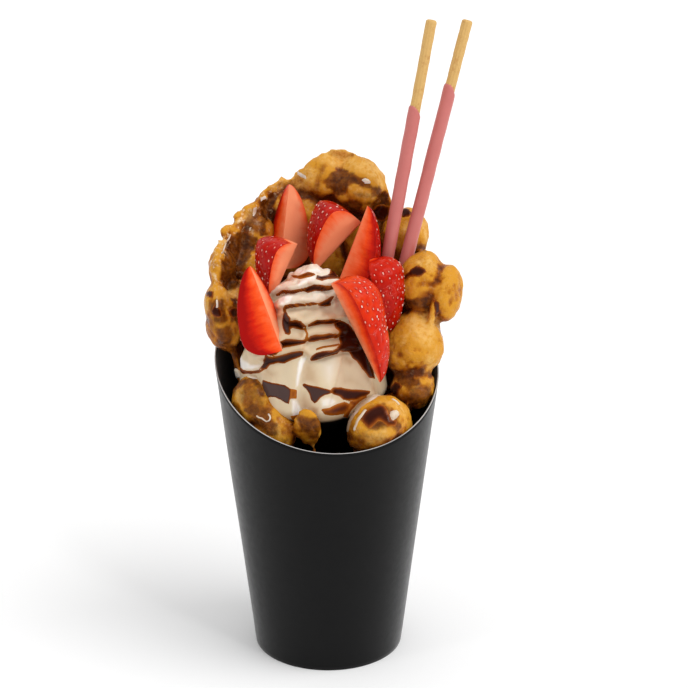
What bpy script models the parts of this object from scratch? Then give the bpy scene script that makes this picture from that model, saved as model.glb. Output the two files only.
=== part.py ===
"""A bubble waffle rolled into a slanted paper scoop cup, filled with fluted ice cream under chocolate
drizzle, and topped with seven strawberry wedges and two coated biscuit sticks.

Lengths are in millimetres about the cup's axis, with the cup's foot at height 0, and turn to metres
as each mesh is made. A turn is an angle round that axis in degrees: 0 at the front, 90 at the right.
"""

import math

import bmesh
import bpy
import numpy as np
from mathutils import Matrix, Vector

MM = 0.001
GAP = 0.3  # left between pieces that touch

# The cup's axis stands a little to the left and front of the middle of the whole footprint.
CUP_AXIS = (-4.0, -6.2)

# Cup: a paper wall of one slope, cut off by a slanted plane, with its floor set up inside the foot.
FOOT_RADIUS = 32.7
FRONT_RIM_RADIUS = 45.9
FRONT_RIM_HEIGHT = 109.8
RIM_SLOPE = 0.457  # how much the rim climbs for each millimetre towards the back
RIM_TURN = 9.4  # the rim's lowest place is turned this far to the right of the front
PAPER = 0.6
FOOT_RING_WIDTH = 1.0
FLOOR_HEIGHT = 6.5
CUP_STEPS = 64
RIM_CUT_SPARE = 6.0  # how far the wall is first turned past its highest rim, for the slanted cut
RIM_CUTTER_SIDE = 200.0

# Waffle web: radius at each height, and the height of its uneven top edge at each turn.
WEB_THICKNESS = 2.6
WEB_PROFILE = (
    (24, 4), (32, 13), (44, 20), (62, 26), (90, 31.5), (116, 35.5),
    (132, 38.5), (150, 43.5), (166, 46.5), (188, 49), (214, 51),
)
WEB_TOP = (
    (0, 96), (14, 98), (24, 112), (39, 122), (60, 114), (76, 128), (88, 168), (104, 171), (118, 171),
    (127, 177), (135, 188), (146, 192), (153, 203), (166, 211), (178, 213), (191, 207), (199, 202),
    (215, 196), (226, 190), (236, 186), (250, 183), (262, 177), (268, 160), (275, 138), (284, 126),
    (294, 124), (306, 125), (318, 120), (332, 104), (344, 98), (350, 110), (356, 98),
)
WEB_STEPS = 44
WEB_RINGS = 9
SPILL_START = 2.5  # this far above the cup's rim the waffle starts to spread out over it
SPILL_SPREAD = 0.9  # how far it may spread for each millimetre above that

# Bubbles: turn, height, how far out of the web they sit, then half their width, length and thickness.
BUBBLES = (
    (164, 197, 0, 12.0, 12.5, 10.5),
    (182, 200, 0, 10.0, 10.5, 8.5),
    (190, 184, 0, 10.5, 10.5, 9.0),
    (136, 178.5, 0, 11.5, 12.5, 10.0),
    (104, 165, -4.5, 12.0, 13.5, 10.0),
    (98, 163, 4.5, 11.0, 12.5, 8.0),
    (94, 139, -3, 14.0, 15.5, 13.3),
    (86, 123, 0, 12.0, 9.5, 9.5),
    (40, 114.5, -1, 15.0, 12.5, 12.0),
    (-58, 121, -1, 12.0, 12.5, 10.0),
    (-43, 112, -1, 11.0, 11.5, 9.5),
    (-93, 153, 1.5, 11.5, 15.0, 7.5),
    (-104, 154, -6, 9.5, 12.0, 7.0),
    (-138, 179, -1, 9.5, 9.5, 7.0),
    (-130, 165, -1, 11.0, 11.0, 9.0),
    (-108, 171, 1, 9.5, 9.5, 5.5),
    (157, 172, 1, 12.0, 12.0, 9.5),
    (183, 163, 1, 12.0, 11.5, 9.5),
    (-155, 169, 1, 12.0, 12.0, 9.5),
    (-158, 188.5, 2, 8.8, 8.8, 6.2),
    (128, 158, 2, 11.0, 10.5, 8.0),
)
BUBBLE_SEGMENTS = 14
BUBBLE_RINGS = 8
BUBBLE_TAPER = 0.08  # a bubble's upper end is this share narrower than its middle
BUBBLE_CLEARANCE = 0.5  # from a bubble to the paper it presses against

# Ice cream: a dome with broad flutes, its radius at each height, and the heights of the drizzle's runs.
ICE_AXIS = (-6.5, -0.5)
ICE_PROFILE = (
    (74, 0), (77, 10), (98, 14), (107, 18), (113, 26), (121, 32), (136, 30.5),
    (150, 26), (162, 19), (171, 11), (175, 5), (177, 0),
)
ICE_FLUTES = 9
ICE_FLUTE_DEPTH = 1.4
ICE_FLUTE_TURN = 8.0
ICE_FLUTE_FADE = 20.0  # the flutes fade towards the top, where the dome's radius is under this
ICE_CLEARANCE = 0.7  # from the dome to the web's inner side
ICE_SEGMENTS = 36
ICE_RINGS = 18
DRIZZLE_HEIGHTS = (170.5, 164.5, 157.5, 151.0, 144.5, 132.0, 125.0)
DRIZZLE_REACH = 58.0  # each run goes this far to either side of the front, in degrees of turn
DRIZZLE_RADIUS = 1.5
DRIZZLE_SINK = 0.5
DRIZZLE_POINTS = 9
DRIZZLE_WAVE = 1.2  # how far a run sways up and down
DRIZZLE_SAG = 0.03  # how far it sinks for each degree of turn away from the front

# Strawberry pieces: the shoulder's and the tip's places, the way the skin faces, the berry's
# half-width, and the angle of the cut wedge.
BERRIES = (
    ((-20.9, 19.5, 168.7), (-16.7, 29.5, 203.6), (0.22, 0.93, -0.29), 18.0, 68.0),
    ((14.3, 24.0, 187.6), (-5.0, 17.0, 168.5), (-0.68, 0.2, 0.7), 21.0, 100.0),
    ((5.0, 12.7, 166.3), (17.0, 18.7, 197.4), (1.0, 0.1, 0.1), 15.0, 80.0),
    ((18.0, 5.0, 177.3), (26.7, 0.8, 146.2), (0.8, -0.6, 0.2), 13.6, 115.0),
    ((1.5, -16.4, 174.3), (21.9, -26.4, 133.8), (0.85, -0.25, 0.45), 17.5, 90.0),
    ((-19.1, -27.5, 149.0), (-32.2, -15.5, 182.0), (-0.56, 0.69, -0.46), 15.7, 104.0),
    ((-12.9, 6.0, 184.0), (-23.6, 0.5, 161.0), (-0.9, -0.2, 0.35), 17.0, 95.0),
)
BERRY_CORE = 0.15  # the cuts pass this far behind the berry's axis
BERRY_SEGMENTS = 24
BERRY_RINGS = 12
SHOULDER_RADIUS = 0.3  # the radius at a berry's blunt end, as a share of its half-width
SHOULDER_LENGTH = 0.28  # the share of its length in which it rounds out from there to its full width

# Biscuit sticks: where each one's foot and top are, and how long its coating is.
STICKS = (
    ((19.7, 13.0, 141.1), (43.8, 28.0, 276.1), 99.5),
    ((28.9, 14.0, 154.0), (59.1, 33.0, 274.9), 96.5),
)
BISCUIT_RADIUS = 2.3
COAT_RADIUS = 2.85
STICK_STEPS = 16
STICK_CHAMFER = 0.5
COAT_LIP = 1.5  # the coating's end slopes down to the biscuit over this length

# Base colour, roughness and metallic value of each material.
BLACK_CARD = ((0.018, 0.018, 0.019), 0.45, 0.0)
GOLDEN_WAFFLE = ((0.58, 0.27, 0.06), 0.5, 0.0)
VANILLA_CREAM = ((0.76, 0.62, 0.44), 0.4, 0.0)
RIPE_BERRY = ((0.65, 0.03, 0.015), 0.3, 0.0)
PINK_COATING = ((0.6, 0.16, 0.18), 0.5, 0.0)


def collection_named(name):
    found = bpy.data.collections.new(name)
    bpy.context.scene.collection.children.link(found)
    return found


def material_of(name, finish):
    colour, roughness, metallic = finish
    material = bpy.data.materials.new(name)
    material.use_nodes = True
    shader = material.node_tree.nodes["Principled BSDF"]
    shader.inputs["Base Color"].default_value = (*colour, 1.0)
    shader.inputs["Roughness"].default_value = roughness
    shader.inputs["Metallic"].default_value = metallic
    material.diffuse_color = (*colour, 1.0)
    return material


def object_from(bm, name, collection, material=None):
    """Turns a bmesh in millimetres into a smooth-shaded object in metres, and frees it."""
    bmesh.ops.scale(bm, vec=(MM, MM, MM), verts=bm.verts)
    bmesh.ops.recalc_face_normals(bm, faces=bm.faces)
    mesh = bpy.data.meshes.new(name)
    bm.to_mesh(mesh)
    bm.free()
    mesh.shade_smooth()
    if material:
        mesh.materials.append(material)
    obj = bpy.data.objects.new(name, mesh)
    collection.objects.link(obj)
    return obj


def hide(obj):
    obj.hide_render = True
    obj.display_type = "WIRE"


def bake(obj):
    """Gives the object its evaluated mesh in place of its modifiers."""
    bpy.context.view_layer.update()
    graph = bpy.context.evaluated_depsgraph_get()
    mesh = bpy.data.meshes.new_from_object(obj.evaluated_get(graph))
    obj.modifiers.clear()
    obj.data = mesh


def keep_largest_body(obj):
    """Drops the loose scraps that a cut leaves, and welds what a cut leaves double."""
    bm = bmesh.new()
    bm.from_mesh(obj.data)
    bmesh.ops.remove_doubles(bm, verts=bm.verts, dist=0.002 * MM)
    unseen = set(bm.verts)
    bodies = []
    while unseen:
        front = [unseen.pop()]
        body = set(front)
        while front:
            for edge in front.pop().link_edges:
                for vert in edge.verts:
                    if vert not in body:
                        body.add(vert)
                        front.append(vert)
        unseen -= body
        bodies.append(body)
    largest = max(bodies, key=len)
    bmesh.ops.delete(bm, geom=[v for v in bm.verts if v not in largest], context="VERTS")
    bm.to_mesh(obj.data)
    bm.free()


def combine(obj, operation, others):
    """Joins or cuts the object with a whole collection at once, and then drops the collection."""
    modifier = obj.modifiers.new(operation.lower(), "BOOLEAN")
    modifier.operation = operation
    modifier.operand_type = "COLLECTION"
    modifier.collection = others
    modifier.solver = "EXACT"
    modifier.use_self = operation == "UNION"
    bake(obj)
    for other in list(others.objects):
        bpy.data.objects.remove(other)
    bpy.data.collections.remove(others)
    keep_largest_body(obj)


def wall_radius(height):
    """The cup's outer radius at a height."""
    return FOOT_RADIUS + (FRONT_RIM_RADIUS - FOOT_RADIUS) * height / FRONT_RIM_HEIGHT


def rim_height(x, y):
    """The height of the cup's slanted rim plane above a place."""
    turn = math.radians(RIM_TURN)
    return FRONT_RIM_HEIGHT + RIM_SLOPE * (y * math.cos(turn) - x * math.sin(turn) + FRONT_RIM_RADIUS)


def profile_at(profile, height):
    heights, radii = zip(*profile)
    return float(np.interp(height, heights, radii))


def web_top(turn):
    turns, heights = zip(*WEB_TOP)
    return float(np.interp(turn % 360, turns, heights, period=360))


def outward(turn):
    """The horizontal unit vector that points away from the axis at a turn."""
    angle = math.radians(turn)
    return Vector((math.sin(angle), -math.cos(angle), 0.0))


def inside_cup(point, clearance):
    """Pulls a point in to the paper where the cup is round it, and lets it spread gently above the rim."""
    above = max(0.0, point.z - rim_height(point.x, point.y) - SPILL_START)
    limit = wall_radius(point.z) - PAPER - clearance + SPILL_SPREAD * above
    radius = math.hypot(point.x, point.y)
    if radius <= limit:
        return point
    return Vector((point.x * limit / radius, point.y * limit / radius, point.z))


def turned_object(name, profile, steps, collection, material=None):
    """A Screw of a profile of (radius, height) points that runs down its outer side."""
    bm = bmesh.new()
    verts = [bm.verts.new((radius, 0.0, height)) for radius, height in profile]
    for first, second in zip(verts, verts[1:]):
        bm.edges.new((first, second))
    bmesh.ops.scale(bm, vec=(MM, MM, MM), verts=bm.verts)
    mesh = bpy.data.meshes.new(name)
    bm.to_mesh(mesh)
    bm.free()
    if material:
        mesh.materials.append(material)
    obj = bpy.data.objects.new(name, mesh)
    collection.objects.link(obj)
    screw = obj.modifiers.new("turn", "SCREW")
    screw.axis = "Z"
    screw.steps = steps
    screw.render_steps = steps
    screw.use_merge_vertices = True
    screw.merge_threshold = 0.0001 * MM
    screw.use_smooth_shade = True
    return obj


def make_cup(collection, cutters, material):
    top = rim_height(0.0, FRONT_RIM_RADIUS) + 2.0 * RIM_CUT_SPARE
    inner = FOOT_RADIUS - FOOT_RING_WIDTH
    floor_top = FLOOR_HEIGHT + PAPER
    profile = [
        (0.0, floor_top),
        (wall_radius(floor_top) - PAPER, floor_top),
        (wall_radius(top) - PAPER, top),
        (wall_radius(top), top),
        (FOOT_RADIUS, 0.0),
        (inner, 0.0),
        (inner, FLOOR_HEIGHT),
        (0.0, FLOOR_HEIGHT),
    ]
    cup = turned_object("cup", profile, CUP_STEPS, collection, material)

    # A block whose underside is the rim's plane takes the top of the wall off.
    bm = bmesh.new()
    bmesh.ops.create_cube(bm, size=RIM_CUTTER_SIDE)
    bmesh.ops.translate(bm, vec=(0.0, 0.0, RIM_CUTTER_SIDE / 2), verts=bm.verts)
    knife = object_from(bm, "rim_cutter", cutters)
    knife.location = Vector((0.0, 0.0, rim_height(0.0, 0.0))) * MM
    knife.rotation_euler = (math.atan(RIM_SLOPE), 0.0, math.radians(RIM_TURN))
    hide(knife)
    cut = cup.modifiers.new("slanted rim", "BOOLEAN")
    cut.operation = "DIFFERENCE"
    cut.solver = "EXACT"
    cut.object = knife
    return cup


def make_web(name, grow, collection):
    """The waffle's thin web: a grid wrapped round the axis from the tip to the uneven top edge."""
    bm = bmesh.new()
    bmesh.ops.create_grid(bm, x_segments=WEB_STEPS, y_segments=WEB_RINGS, size=1.0)
    foot = WEB_PROFILE[0][0]
    for vert in bm.verts:
        turn = 180.0 * vert.co.x
        share = (vert.co.y + 1.0) / 2.0
        height = foot + (web_top(turn) + grow - foot) * share
        point = outward(turn) * profile_at(WEB_PROFILE, height) + Vector((0.0, 0.0, height))
        vert.co = inside_cup(point, WEB_THICKNESS)
    bmesh.ops.remove_doubles(bm, verts=bm.verts, dist=0.01)
    rim = [edge for edge in bm.edges if edge.is_boundary and edge.verts[0].co.z < foot + 1.0]
    bmesh.ops.holes_fill(bm, edges=rim, sides=WEB_STEPS)
    web = object_from(bm, name, collection)
    thicken = web.modifiers.new("web thickness", "SOLIDIFY")
    thicken.thickness = (WEB_THICKNESS + 2.0 * grow) * MM
    thicken.offset = 0.0
    bake(web)
    return web


def make_bubble(name, bubble, grow, collection):
    """One egg-shaped bubble, its thickness across the web and its length up the web's slope."""
    turn, height, out, width, length, thickness = bubble
    slope = (profile_at(WEB_PROFILE, height + 5.0) - profile_at(WEB_PROFILE, height - 5.0)) / 10.0
    radial = outward(turn)
    upward = (radial * slope + Vector((0.0, 0.0, 1.0))).normalized()
    across = Vector((0.0, 0.0, 1.0)).cross(radial)
    normal = across.cross(upward)
    centre = radial * profile_at(WEB_PROFILE, height) + Vector((0.0, 0.0, height)) + normal * out
    bm = bmesh.new()
    bmesh.ops.create_uvsphere(bm, u_segments=BUBBLE_SEGMENTS, v_segments=BUBBLE_RINGS, radius=1.0)
    for vert in bm.verts:
        x, y, z = vert.co
        narrowing = 1.0 - BUBBLE_TAPER * y
        vert.co = (
            centre
            + across * x * narrowing * (width + grow)
            + upward * y * (length + grow)
            + normal * z * narrowing * (thickness + grow)
        )
        vert.co = inside_cup(vert.co, BUBBLE_CLEARANCE)
    return object_from(bm, name, collection)


def make_waffle(name, grow, collection, material=None):
    waffle = make_web(name, grow, collection)
    pieces = collection_named(name + "_bubbles")
    for number, bubble in enumerate(BUBBLES, 1):
        make_bubble(f"{name}_bubble_{number}", bubble, grow, pieces)
    combine(waffle, "UNION", pieces)
    if material:
        waffle.data.materials.clear()
        waffle.data.materials.append(material)
    return waffle


def ice_point(turn, height, lift=0.0):
    """A place on the ice cream: its dome's radius, swelled and pinched by the flutes, kept in the web."""
    flute = abs(math.cos(math.radians(ICE_FLUTES * (turn - ICE_FLUTE_TURN) / 2.0))) - 0.5
    radius = profile_at(ICE_PROFILE, height)
    radius += lift + ICE_FLUTE_DEPTH * flute * min(1.0, radius / ICE_FLUTE_FADE)
    point = Vector((*ICE_AXIS, height)) + outward(turn) * radius
    limit = profile_at(WEB_PROFILE, height) - WEB_THICKNESS / 2 - ICE_CLEARANCE
    reach = math.hypot(point.x, point.y)
    if reach > limit:
        point.x *= limit / reach
        point.y *= limit / reach
    return point


def drizzle_path():
    """The drizzle goes from side to side in wavy runs down the front, and turns back at each end."""
    points = []
    for run, height in enumerate(DRIZZLE_HEIGHTS):
        turns = np.linspace(-DRIZZLE_REACH, DRIZZLE_REACH, DRIZZLE_POINTS)
        for turn in turns if run % 2 == 0 else turns[::-1]:
            sag = DRIZZLE_WAVE * math.sin(math.radians(4.0 * turn) + run) - abs(turn) * DRIZZLE_SAG
            points.append(ice_point(turn, height + sag, -DRIZZLE_SINK))
    return points


def make_drizzle(collection):
    """A tube along the drizzle's path, sunk into the dome so that a low rounded band stands out."""
    curve = bpy.data.curves.new("drizzle", "CURVE")
    curve.dimensions = "3D"
    curve.bevel_depth = DRIZZLE_RADIUS * MM
    curve.bevel_resolution = 1
    curve.use_fill_caps = True
    path = drizzle_path()
    spline = curve.splines.new("POLY")
    spline.points.add(len(path) - 1)
    for spot, point in zip(spline.points, path):
        spot.co = (*(point * MM), 1.0)
    tube = bpy.data.objects.new("drizzle_path", curve)
    collection.objects.link(tube)
    bpy.context.view_layer.update()
    graph = bpy.context.evaluated_depsgraph_get()
    mesh = bpy.data.meshes.new_from_object(tube.evaluated_get(graph))
    bm = bmesh.new()
    bm.from_mesh(mesh)
    bmesh.ops.remove_doubles(bm, verts=bm.verts, dist=0.01 * MM)
    bm.to_mesh(mesh)
    bm.free()
    drizzle = bpy.data.objects.new("drizzle", mesh)
    drizzle.matrix_world = tube.matrix_world
    collection.objects.link(drizzle)
    bpy.data.objects.remove(tube)
    return drizzle


def make_ice_cream(collection, material):
    bm = bmesh.new()
    bmesh.ops.create_uvsphere(bm, u_segments=ICE_SEGMENTS, v_segments=ICE_RINGS, radius=1.0)
    low, high = ICE_PROFILE[0][0], ICE_PROFILE[-1][0]
    for vert in bm.verts:
        turn = math.degrees(math.atan2(vert.co.x, -vert.co.y))
        height = low + (high - low) * (0.5 + math.asin(max(-1.0, min(1.0, vert.co.z))) / math.pi)
        vert.co = ice_point(turn, height) if abs(vert.co.z) < 0.9999 else Vector((*ICE_AXIS, height))
    ice = object_from(bm, "ice_cream", collection)
    runs = collection_named("drizzle_runs")
    make_drizzle(runs)
    combine(ice, "UNION", runs)
    ice.data.materials.clear()
    ice.data.materials.append(material)
    return ice


def berry_radius(share):
    """A berry's radius from its shoulder, 0, to its tip, 1: full near the shoulder, then drawn to a tip."""
    swell = math.sqrt(1.0 - (1.0 - min(1.0, share / SHOULDER_LENGTH)) ** 2)
    return (SHOULDER_RADIUS + (1.0 - SHOULDER_RADIUS) * swell) * (1.0 - share**1.9) ** 0.62


def make_berry(name, berry, grow, collection, material=None):
    """A wedge of a berry: the whole turned form, cut by two planes that meet just behind its axis."""
    shoulder, tip, skin, half_width, wedge = berry
    shoulder, tip = Vector(shoulder), Vector(tip)
    length = (tip - shoulder).length + 2.0 * grow
    axis = (tip - shoulder).normalized()
    facing = Vector(skin)
    facing = (facing - axis * facing.dot(axis)).normalized()
    aside = axis.cross(facing)
    bm = bmesh.new()
    bmesh.ops.create_uvsphere(bm, u_segments=BERRY_SEGMENTS, v_segments=BERRY_RINGS, radius=1.0)
    for vert in bm.verts:
        share = 0.5 + math.asin(max(-1.0, min(1.0, vert.co.z))) / math.pi
        around = Vector((vert.co.x, vert.co.y))
        radius = (half_width + grow) * berry_radius(share) if around.length > 0.001 else 0.0
        if radius:
            around = around.normalized() * radius
        vert.co = Vector((around.x, around.y, share * length - grow))
    for side in (-1.0, 1.0):
        angle = math.radians(wedge / 2.0 + 90.0) * side
        away = Vector((math.cos(angle), math.sin(angle), 0.0))
        bmesh.ops.bisect_plane(
            bm,
            geom=bm.verts[:] + bm.edges[:] + bm.faces[:],
            plane_co=away * (grow + BERRY_CORE),
            plane_no=away,
            clear_outer=True,
        )
        bmesh.ops.holes_fill(bm, edges=[edge for edge in bm.edges if edge.is_boundary], sides=0)
    bmesh.ops.remove_doubles(bm, verts=bm.verts, dist=0.02)
    place = Matrix((facing, aside, axis)).transposed().to_4x4()
    place.translation = shoulder
    bmesh.ops.transform(bm, matrix=place, verts=bm.verts)
    return object_from(bm, name, collection, material)


def make_stick(name, stick, grow, collection, material=None):
    """A biscuit stick that stands on its foot, thicker as far up as its coating goes."""
    foot, top, coated = stick
    foot, top = Vector(foot), Vector(top)
    length = (top - foot).length
    biscuit, coat = BISCUIT_RADIUS + grow, COAT_RADIUS + grow
    profile = [
        (0.0, length + grow),
        (biscuit - STICK_CHAMFER, length + grow),
        (biscuit, length - STICK_CHAMFER),
        (biscuit, coated + COAT_LIP / 2.0),
        (coat, coated - COAT_LIP / 2.0),
        (coat, STICK_CHAMFER),
        (coat - STICK_CHAMFER, -grow),
        (0.0, -grow),
    ]
    obj = turned_object(name, profile, STICK_STEPS, collection, material)
    obj.location = foot * MM
    obj.rotation_euler = (top - foot).to_track_quat("Z", "Y").to_euler()
    if grow:
        bake(obj)
    return obj


def make_clearances(name):
    """Copies of the wedges and sticks, larger by the gap, that make room for them in what they sit in."""
    room = collection_named(name)
    for number, berry in enumerate(BERRIES, 1):
        make_berry(f"{name}_berry_{number}", berry, GAP, room)
    for number, stick in enumerate(STICKS, 1):
        make_stick(f"{name}_stick_{number}", stick, GAP, room)
    return room


def main():
    for obj in list(bpy.data.objects):
        bpy.data.objects.remove(obj)
    parts = collection_named("bubble_waffle")
    cutters = collection_named("cutters")

    cup = make_cup(parts, cutters, material_of("black_card", BLACK_CARD))

    waffle = make_waffle("waffle", 0.0, parts, material_of("golden_waffle", GOLDEN_WAFFLE))
    combine(waffle, "DIFFERENCE", make_clearances("waffle_room"))

    ice = make_ice_cream(parts, material_of("vanilla_cream", VANILLA_CREAM))
    room = make_clearances("ice_room")
    make_waffle("ice_room_waffle", GAP, room)
    combine(ice, "DIFFERENCE", room)

    pieces = [cup, waffle, ice]
    ripe = material_of("ripe_berry", RIPE_BERRY)
    for number, berry in enumerate(BERRIES, 1):
        pieces.append(make_berry(f"strawberry_{number}", berry, 0.0, parts, ripe))
    coated = material_of("pink_coating", PINK_COATING)
    for number, stick in enumerate(STICKS, 1):
        pieces.append(make_stick(f"stick_{number}", stick, 0.0, parts, coated))

    axis = bpy.data.objects.new("cup_axis", None)
    axis.location = (CUP_AXIS[0] * MM, CUP_AXIS[1] * MM, 0.0)
    parts.objects.link(axis)
    for piece in [*pieces, *cutters.objects]:
        piece.parent = axis


main()
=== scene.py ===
"""The looks of a bubble waffle rolled round ice cream in a slanted black paper cup, with chocolate,
strawberry pieces and two coated biscuit sticks.

Lengths are in millimetres about the cup's axis, with the cup's foot at height 0, and turn to metres
as each mesh is made. A turn is an angle round that axis in degrees: 0 at the front, 90 at the right.
"""

from __future__ import annotations

import logging
import math
from dataclasses import dataclass, field
from enum import Enum
from typing import Callable, Sequence

import bpy
import numpy as np
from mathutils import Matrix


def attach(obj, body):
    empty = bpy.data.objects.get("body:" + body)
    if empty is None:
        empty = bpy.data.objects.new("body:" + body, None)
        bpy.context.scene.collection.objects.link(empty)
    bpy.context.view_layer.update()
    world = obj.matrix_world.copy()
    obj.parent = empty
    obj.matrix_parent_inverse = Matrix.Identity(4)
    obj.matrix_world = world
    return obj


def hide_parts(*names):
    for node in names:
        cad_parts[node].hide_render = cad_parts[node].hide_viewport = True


Array = np.ndarray
Socket = bpy.types.NodeSocket
Colour = tuple[float, float, float]
Pixels = tuple[float, ...]  # places in the photograph: across and down in turn

MM = 0.001
UP = np.array([0.0, 0.0, 1.0])
LOG = logging.getLogger("bubble_waffle")

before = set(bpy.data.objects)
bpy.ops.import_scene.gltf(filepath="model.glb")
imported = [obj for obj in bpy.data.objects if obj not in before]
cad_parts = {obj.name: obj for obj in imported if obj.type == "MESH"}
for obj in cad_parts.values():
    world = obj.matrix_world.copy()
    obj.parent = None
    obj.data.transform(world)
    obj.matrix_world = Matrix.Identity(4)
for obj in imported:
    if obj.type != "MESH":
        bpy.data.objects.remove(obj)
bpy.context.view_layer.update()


def foot_centre() -> Array:
    """The place of the cup's axis on the floor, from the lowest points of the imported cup.

    Returns:
        The axis's place in millimetres in the frame.
    """
    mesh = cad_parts["cup"].data
    points = np.empty(len(mesh.vertices) * 3)
    mesh.vertices.foreach_get("co", points)
    points = points.reshape(-1, 3) / MM
    foot = points[points[:, 2] < 0.5]
    middle = (foot.min(0) + foot.max(0)) / 2.0
    return np.array([middle[0], middle[1], 0.0])


AXIS = foot_centre()

# Cup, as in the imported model.
FOOT_RADIUS = 32.7
FRONT_RIM_RADIUS = 45.9
FRONT_RIM_HEIGHT = 109.8
RIM_SLOPE = 0.457
RIM_TURN = 9.4
PAPER = 0.6


def outward(turn: Array) -> Array:
    """The horizontal unit vectors that point away from the axis at each turn, in degrees."""
    angle = np.radians(turn)
    return np.stack([np.sin(angle), -np.cos(angle), np.zeros_like(angle)], -1)


def wall_radius(height: Array) -> Array:
    """The cup's outer radius at each height: it grows evenly from the foot to the rim."""
    return FOOT_RADIUS + (FRONT_RIM_RADIUS - FOOT_RADIUS) * height / FRONT_RIM_HEIGHT


def rim_height(x: Array, y: Array) -> Array:
    """The height of the slanted plane that cuts the cup's rim, above each place."""
    turn = math.radians(RIM_TURN)
    return FRONT_RIM_HEIGHT + RIM_SLOPE * (y * math.cos(turn) - x * math.sin(turn) + FRONT_RIM_RADIUS)


def smoothstep(low: float, high: float, value: Array) -> Array:
    """0 below low, 1 above high, and an even s-curve between them."""
    share = np.clip((value - low) / (high - low), 0.0, 1.0)
    return share * share * (3.0 - 2.0 * share)


def lattice(cell: Array, seed: int) -> Array:
    """A fixed number from -1 to 1 for each whole-number corner of a lattice, by mixing its bits.

    Args:
        cell: the corners, with three whole numbers along the last axis.
        seed: picks one of many such fields.

    Returns:
        One number for each corner.
    """
    mixed = cell[..., 0] * 374761393 + cell[..., 1] * 668265263 + cell[..., 2] * 1440662683 + seed * 987643
    mixed = (mixed ^ (mixed >> 13)) & 0xFFFFFFFF
    mixed = (mixed * 1274126177) & 0xFFFFFFFF
    mixed = mixed ^ (mixed >> 16)
    return (mixed & 0xFFFF) / 32767.5 - 1.0


def noise(points: Array, size: float, seed: int) -> Array:
    """Smooth noise from -1 to 1: lattice values a size apart, blended with a quintic fade.

    Args:
        points: places, with three numbers along the last axis.
        size: the distance between lattice corners, in the points' unit.
        seed: picks one of many such fields.

    Returns:
        One value for each place.
    """
    scaled = np.asarray(points, float) / size
    base = np.floor(scaled)
    part = scaled - base
    cell = base.astype(np.int64)
    fade = part**3 * (part * (part * 6.0 - 15.0) + 10.0)
    total = np.zeros(part.shape[:-1])
    for corner in np.ndindex(2, 2, 2):
        step = np.array(corner)
        weight = np.prod(np.where(step, fade, 1.0 - fade), -1)
        total += weight * lattice(cell + step, seed)
    return total


def fractal(points: Array, size: float, seed: int, octaves: int = 3) -> Array:
    """Noise of several sizes added up, each half as large and half as strong as the one before."""
    return sum(noise(points, size / 2**k, seed + k) / 2**k for k in range(octaves))


def grid_faces(rows: int, columns: int, closed: bool) -> Array:
    """The quads of a grid of rows x columns points stored row by row.

    Args:
        rows: points along the first parameter.
        columns: points along the second parameter.
        closed: whether the last column joins the first.

    Returns:
        One row of four point numbers for each quad.
    """
    row = np.arange(rows - 1)[:, None] * columns
    column = np.arange(columns if closed else columns - 1)[None, :]
    beside = (column + 1) % columns
    corners = [row + column, row + beside, row + columns + beside, row + columns + column]
    return np.stack(corners, -1).reshape(-1, 4)


def unit_ball(around: int, rows: int) -> Array:
    """Rings of a ball of radius 1 from its foot to its top, by the cosine and sine of two angles.

    Args:
        around: points in each ring.
        rows: rings, counting the two poles, which are left out.

    Returns:
        Array of rings x points x 3.
    """
    lon = np.linspace(0.0, 2.0 * np.pi, around, endpoint=False)[None, :]
    lat = np.linspace(-np.pi / 2, np.pi / 2, rows)[1:-1, None]
    return np.stack([np.cos(lat) * np.cos(lon), np.cos(lat) * np.sin(lon), np.sin(lat) + 0.0 * lon], -1)


def give_values(mesh: bpy.types.Mesh, values: dict[str, Array]) -> None:
    """Stores numbers at a mesh's points, for its material to read.

    Args:
        mesh: the mesh.
        values: one number for each point, under each name.
    """
    for name, value in values.items():
        attribute = mesh.attributes.get(name) or mesh.attributes.new(name, "FLOAT", "POINT")
        attribute.data.foreach_set("value", np.asarray(value, np.float32))


@dataclass
class Surface:
    """Points in millimetres about the cup's axis, the faces between them, and values at the points."""

    points: Array
    faces: list[tuple[int, ...]]
    values: dict[str, Array] = field(default_factory=dict)

    def joined(self, other: Surface) -> Surface:
        """Both surfaces as one, without welding them.

        Args:
            other: the surface to add.

        Returns:
            The two together. Where one of them lacks a value, it is 0.
        """
        shift = len(self.points)
        faces = self.faces + [tuple(corner + shift for corner in face) for face in other.faces]
        values = {}
        for name in {**self.values, **other.values}:
            first = self.values.get(name, np.zeros(len(self.points)))
            second = other.values.get(name, np.zeros(len(other.points)))
            values[name] = np.concatenate([first, second])
        return Surface(np.concatenate([self.points, other.points]), faces, values)

    def place(self, name: str, material: bpy.types.Material | None = None) -> bpy.types.Object:
        """Makes a smooth-shaded object at the origin whose mesh holds the surface, in metres.

        Args:
            name: the piece's name.
            material: what it is made of, where that is known by now.

        Returns:
            The new object.
        """
        mesh = bpy.data.meshes.new(name)
        mesh.from_pydata(((self.points + AXIS) * MM).tolist(), [], self.faces)
        give_values(mesh, self.values)
        mesh.shade_smooth()
        if material:
            mesh.materials.append(material)
        piece = bpy.data.objects.new(name, mesh)
        bpy.context.scene.collection.objects.link(piece)
        return piece


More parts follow.
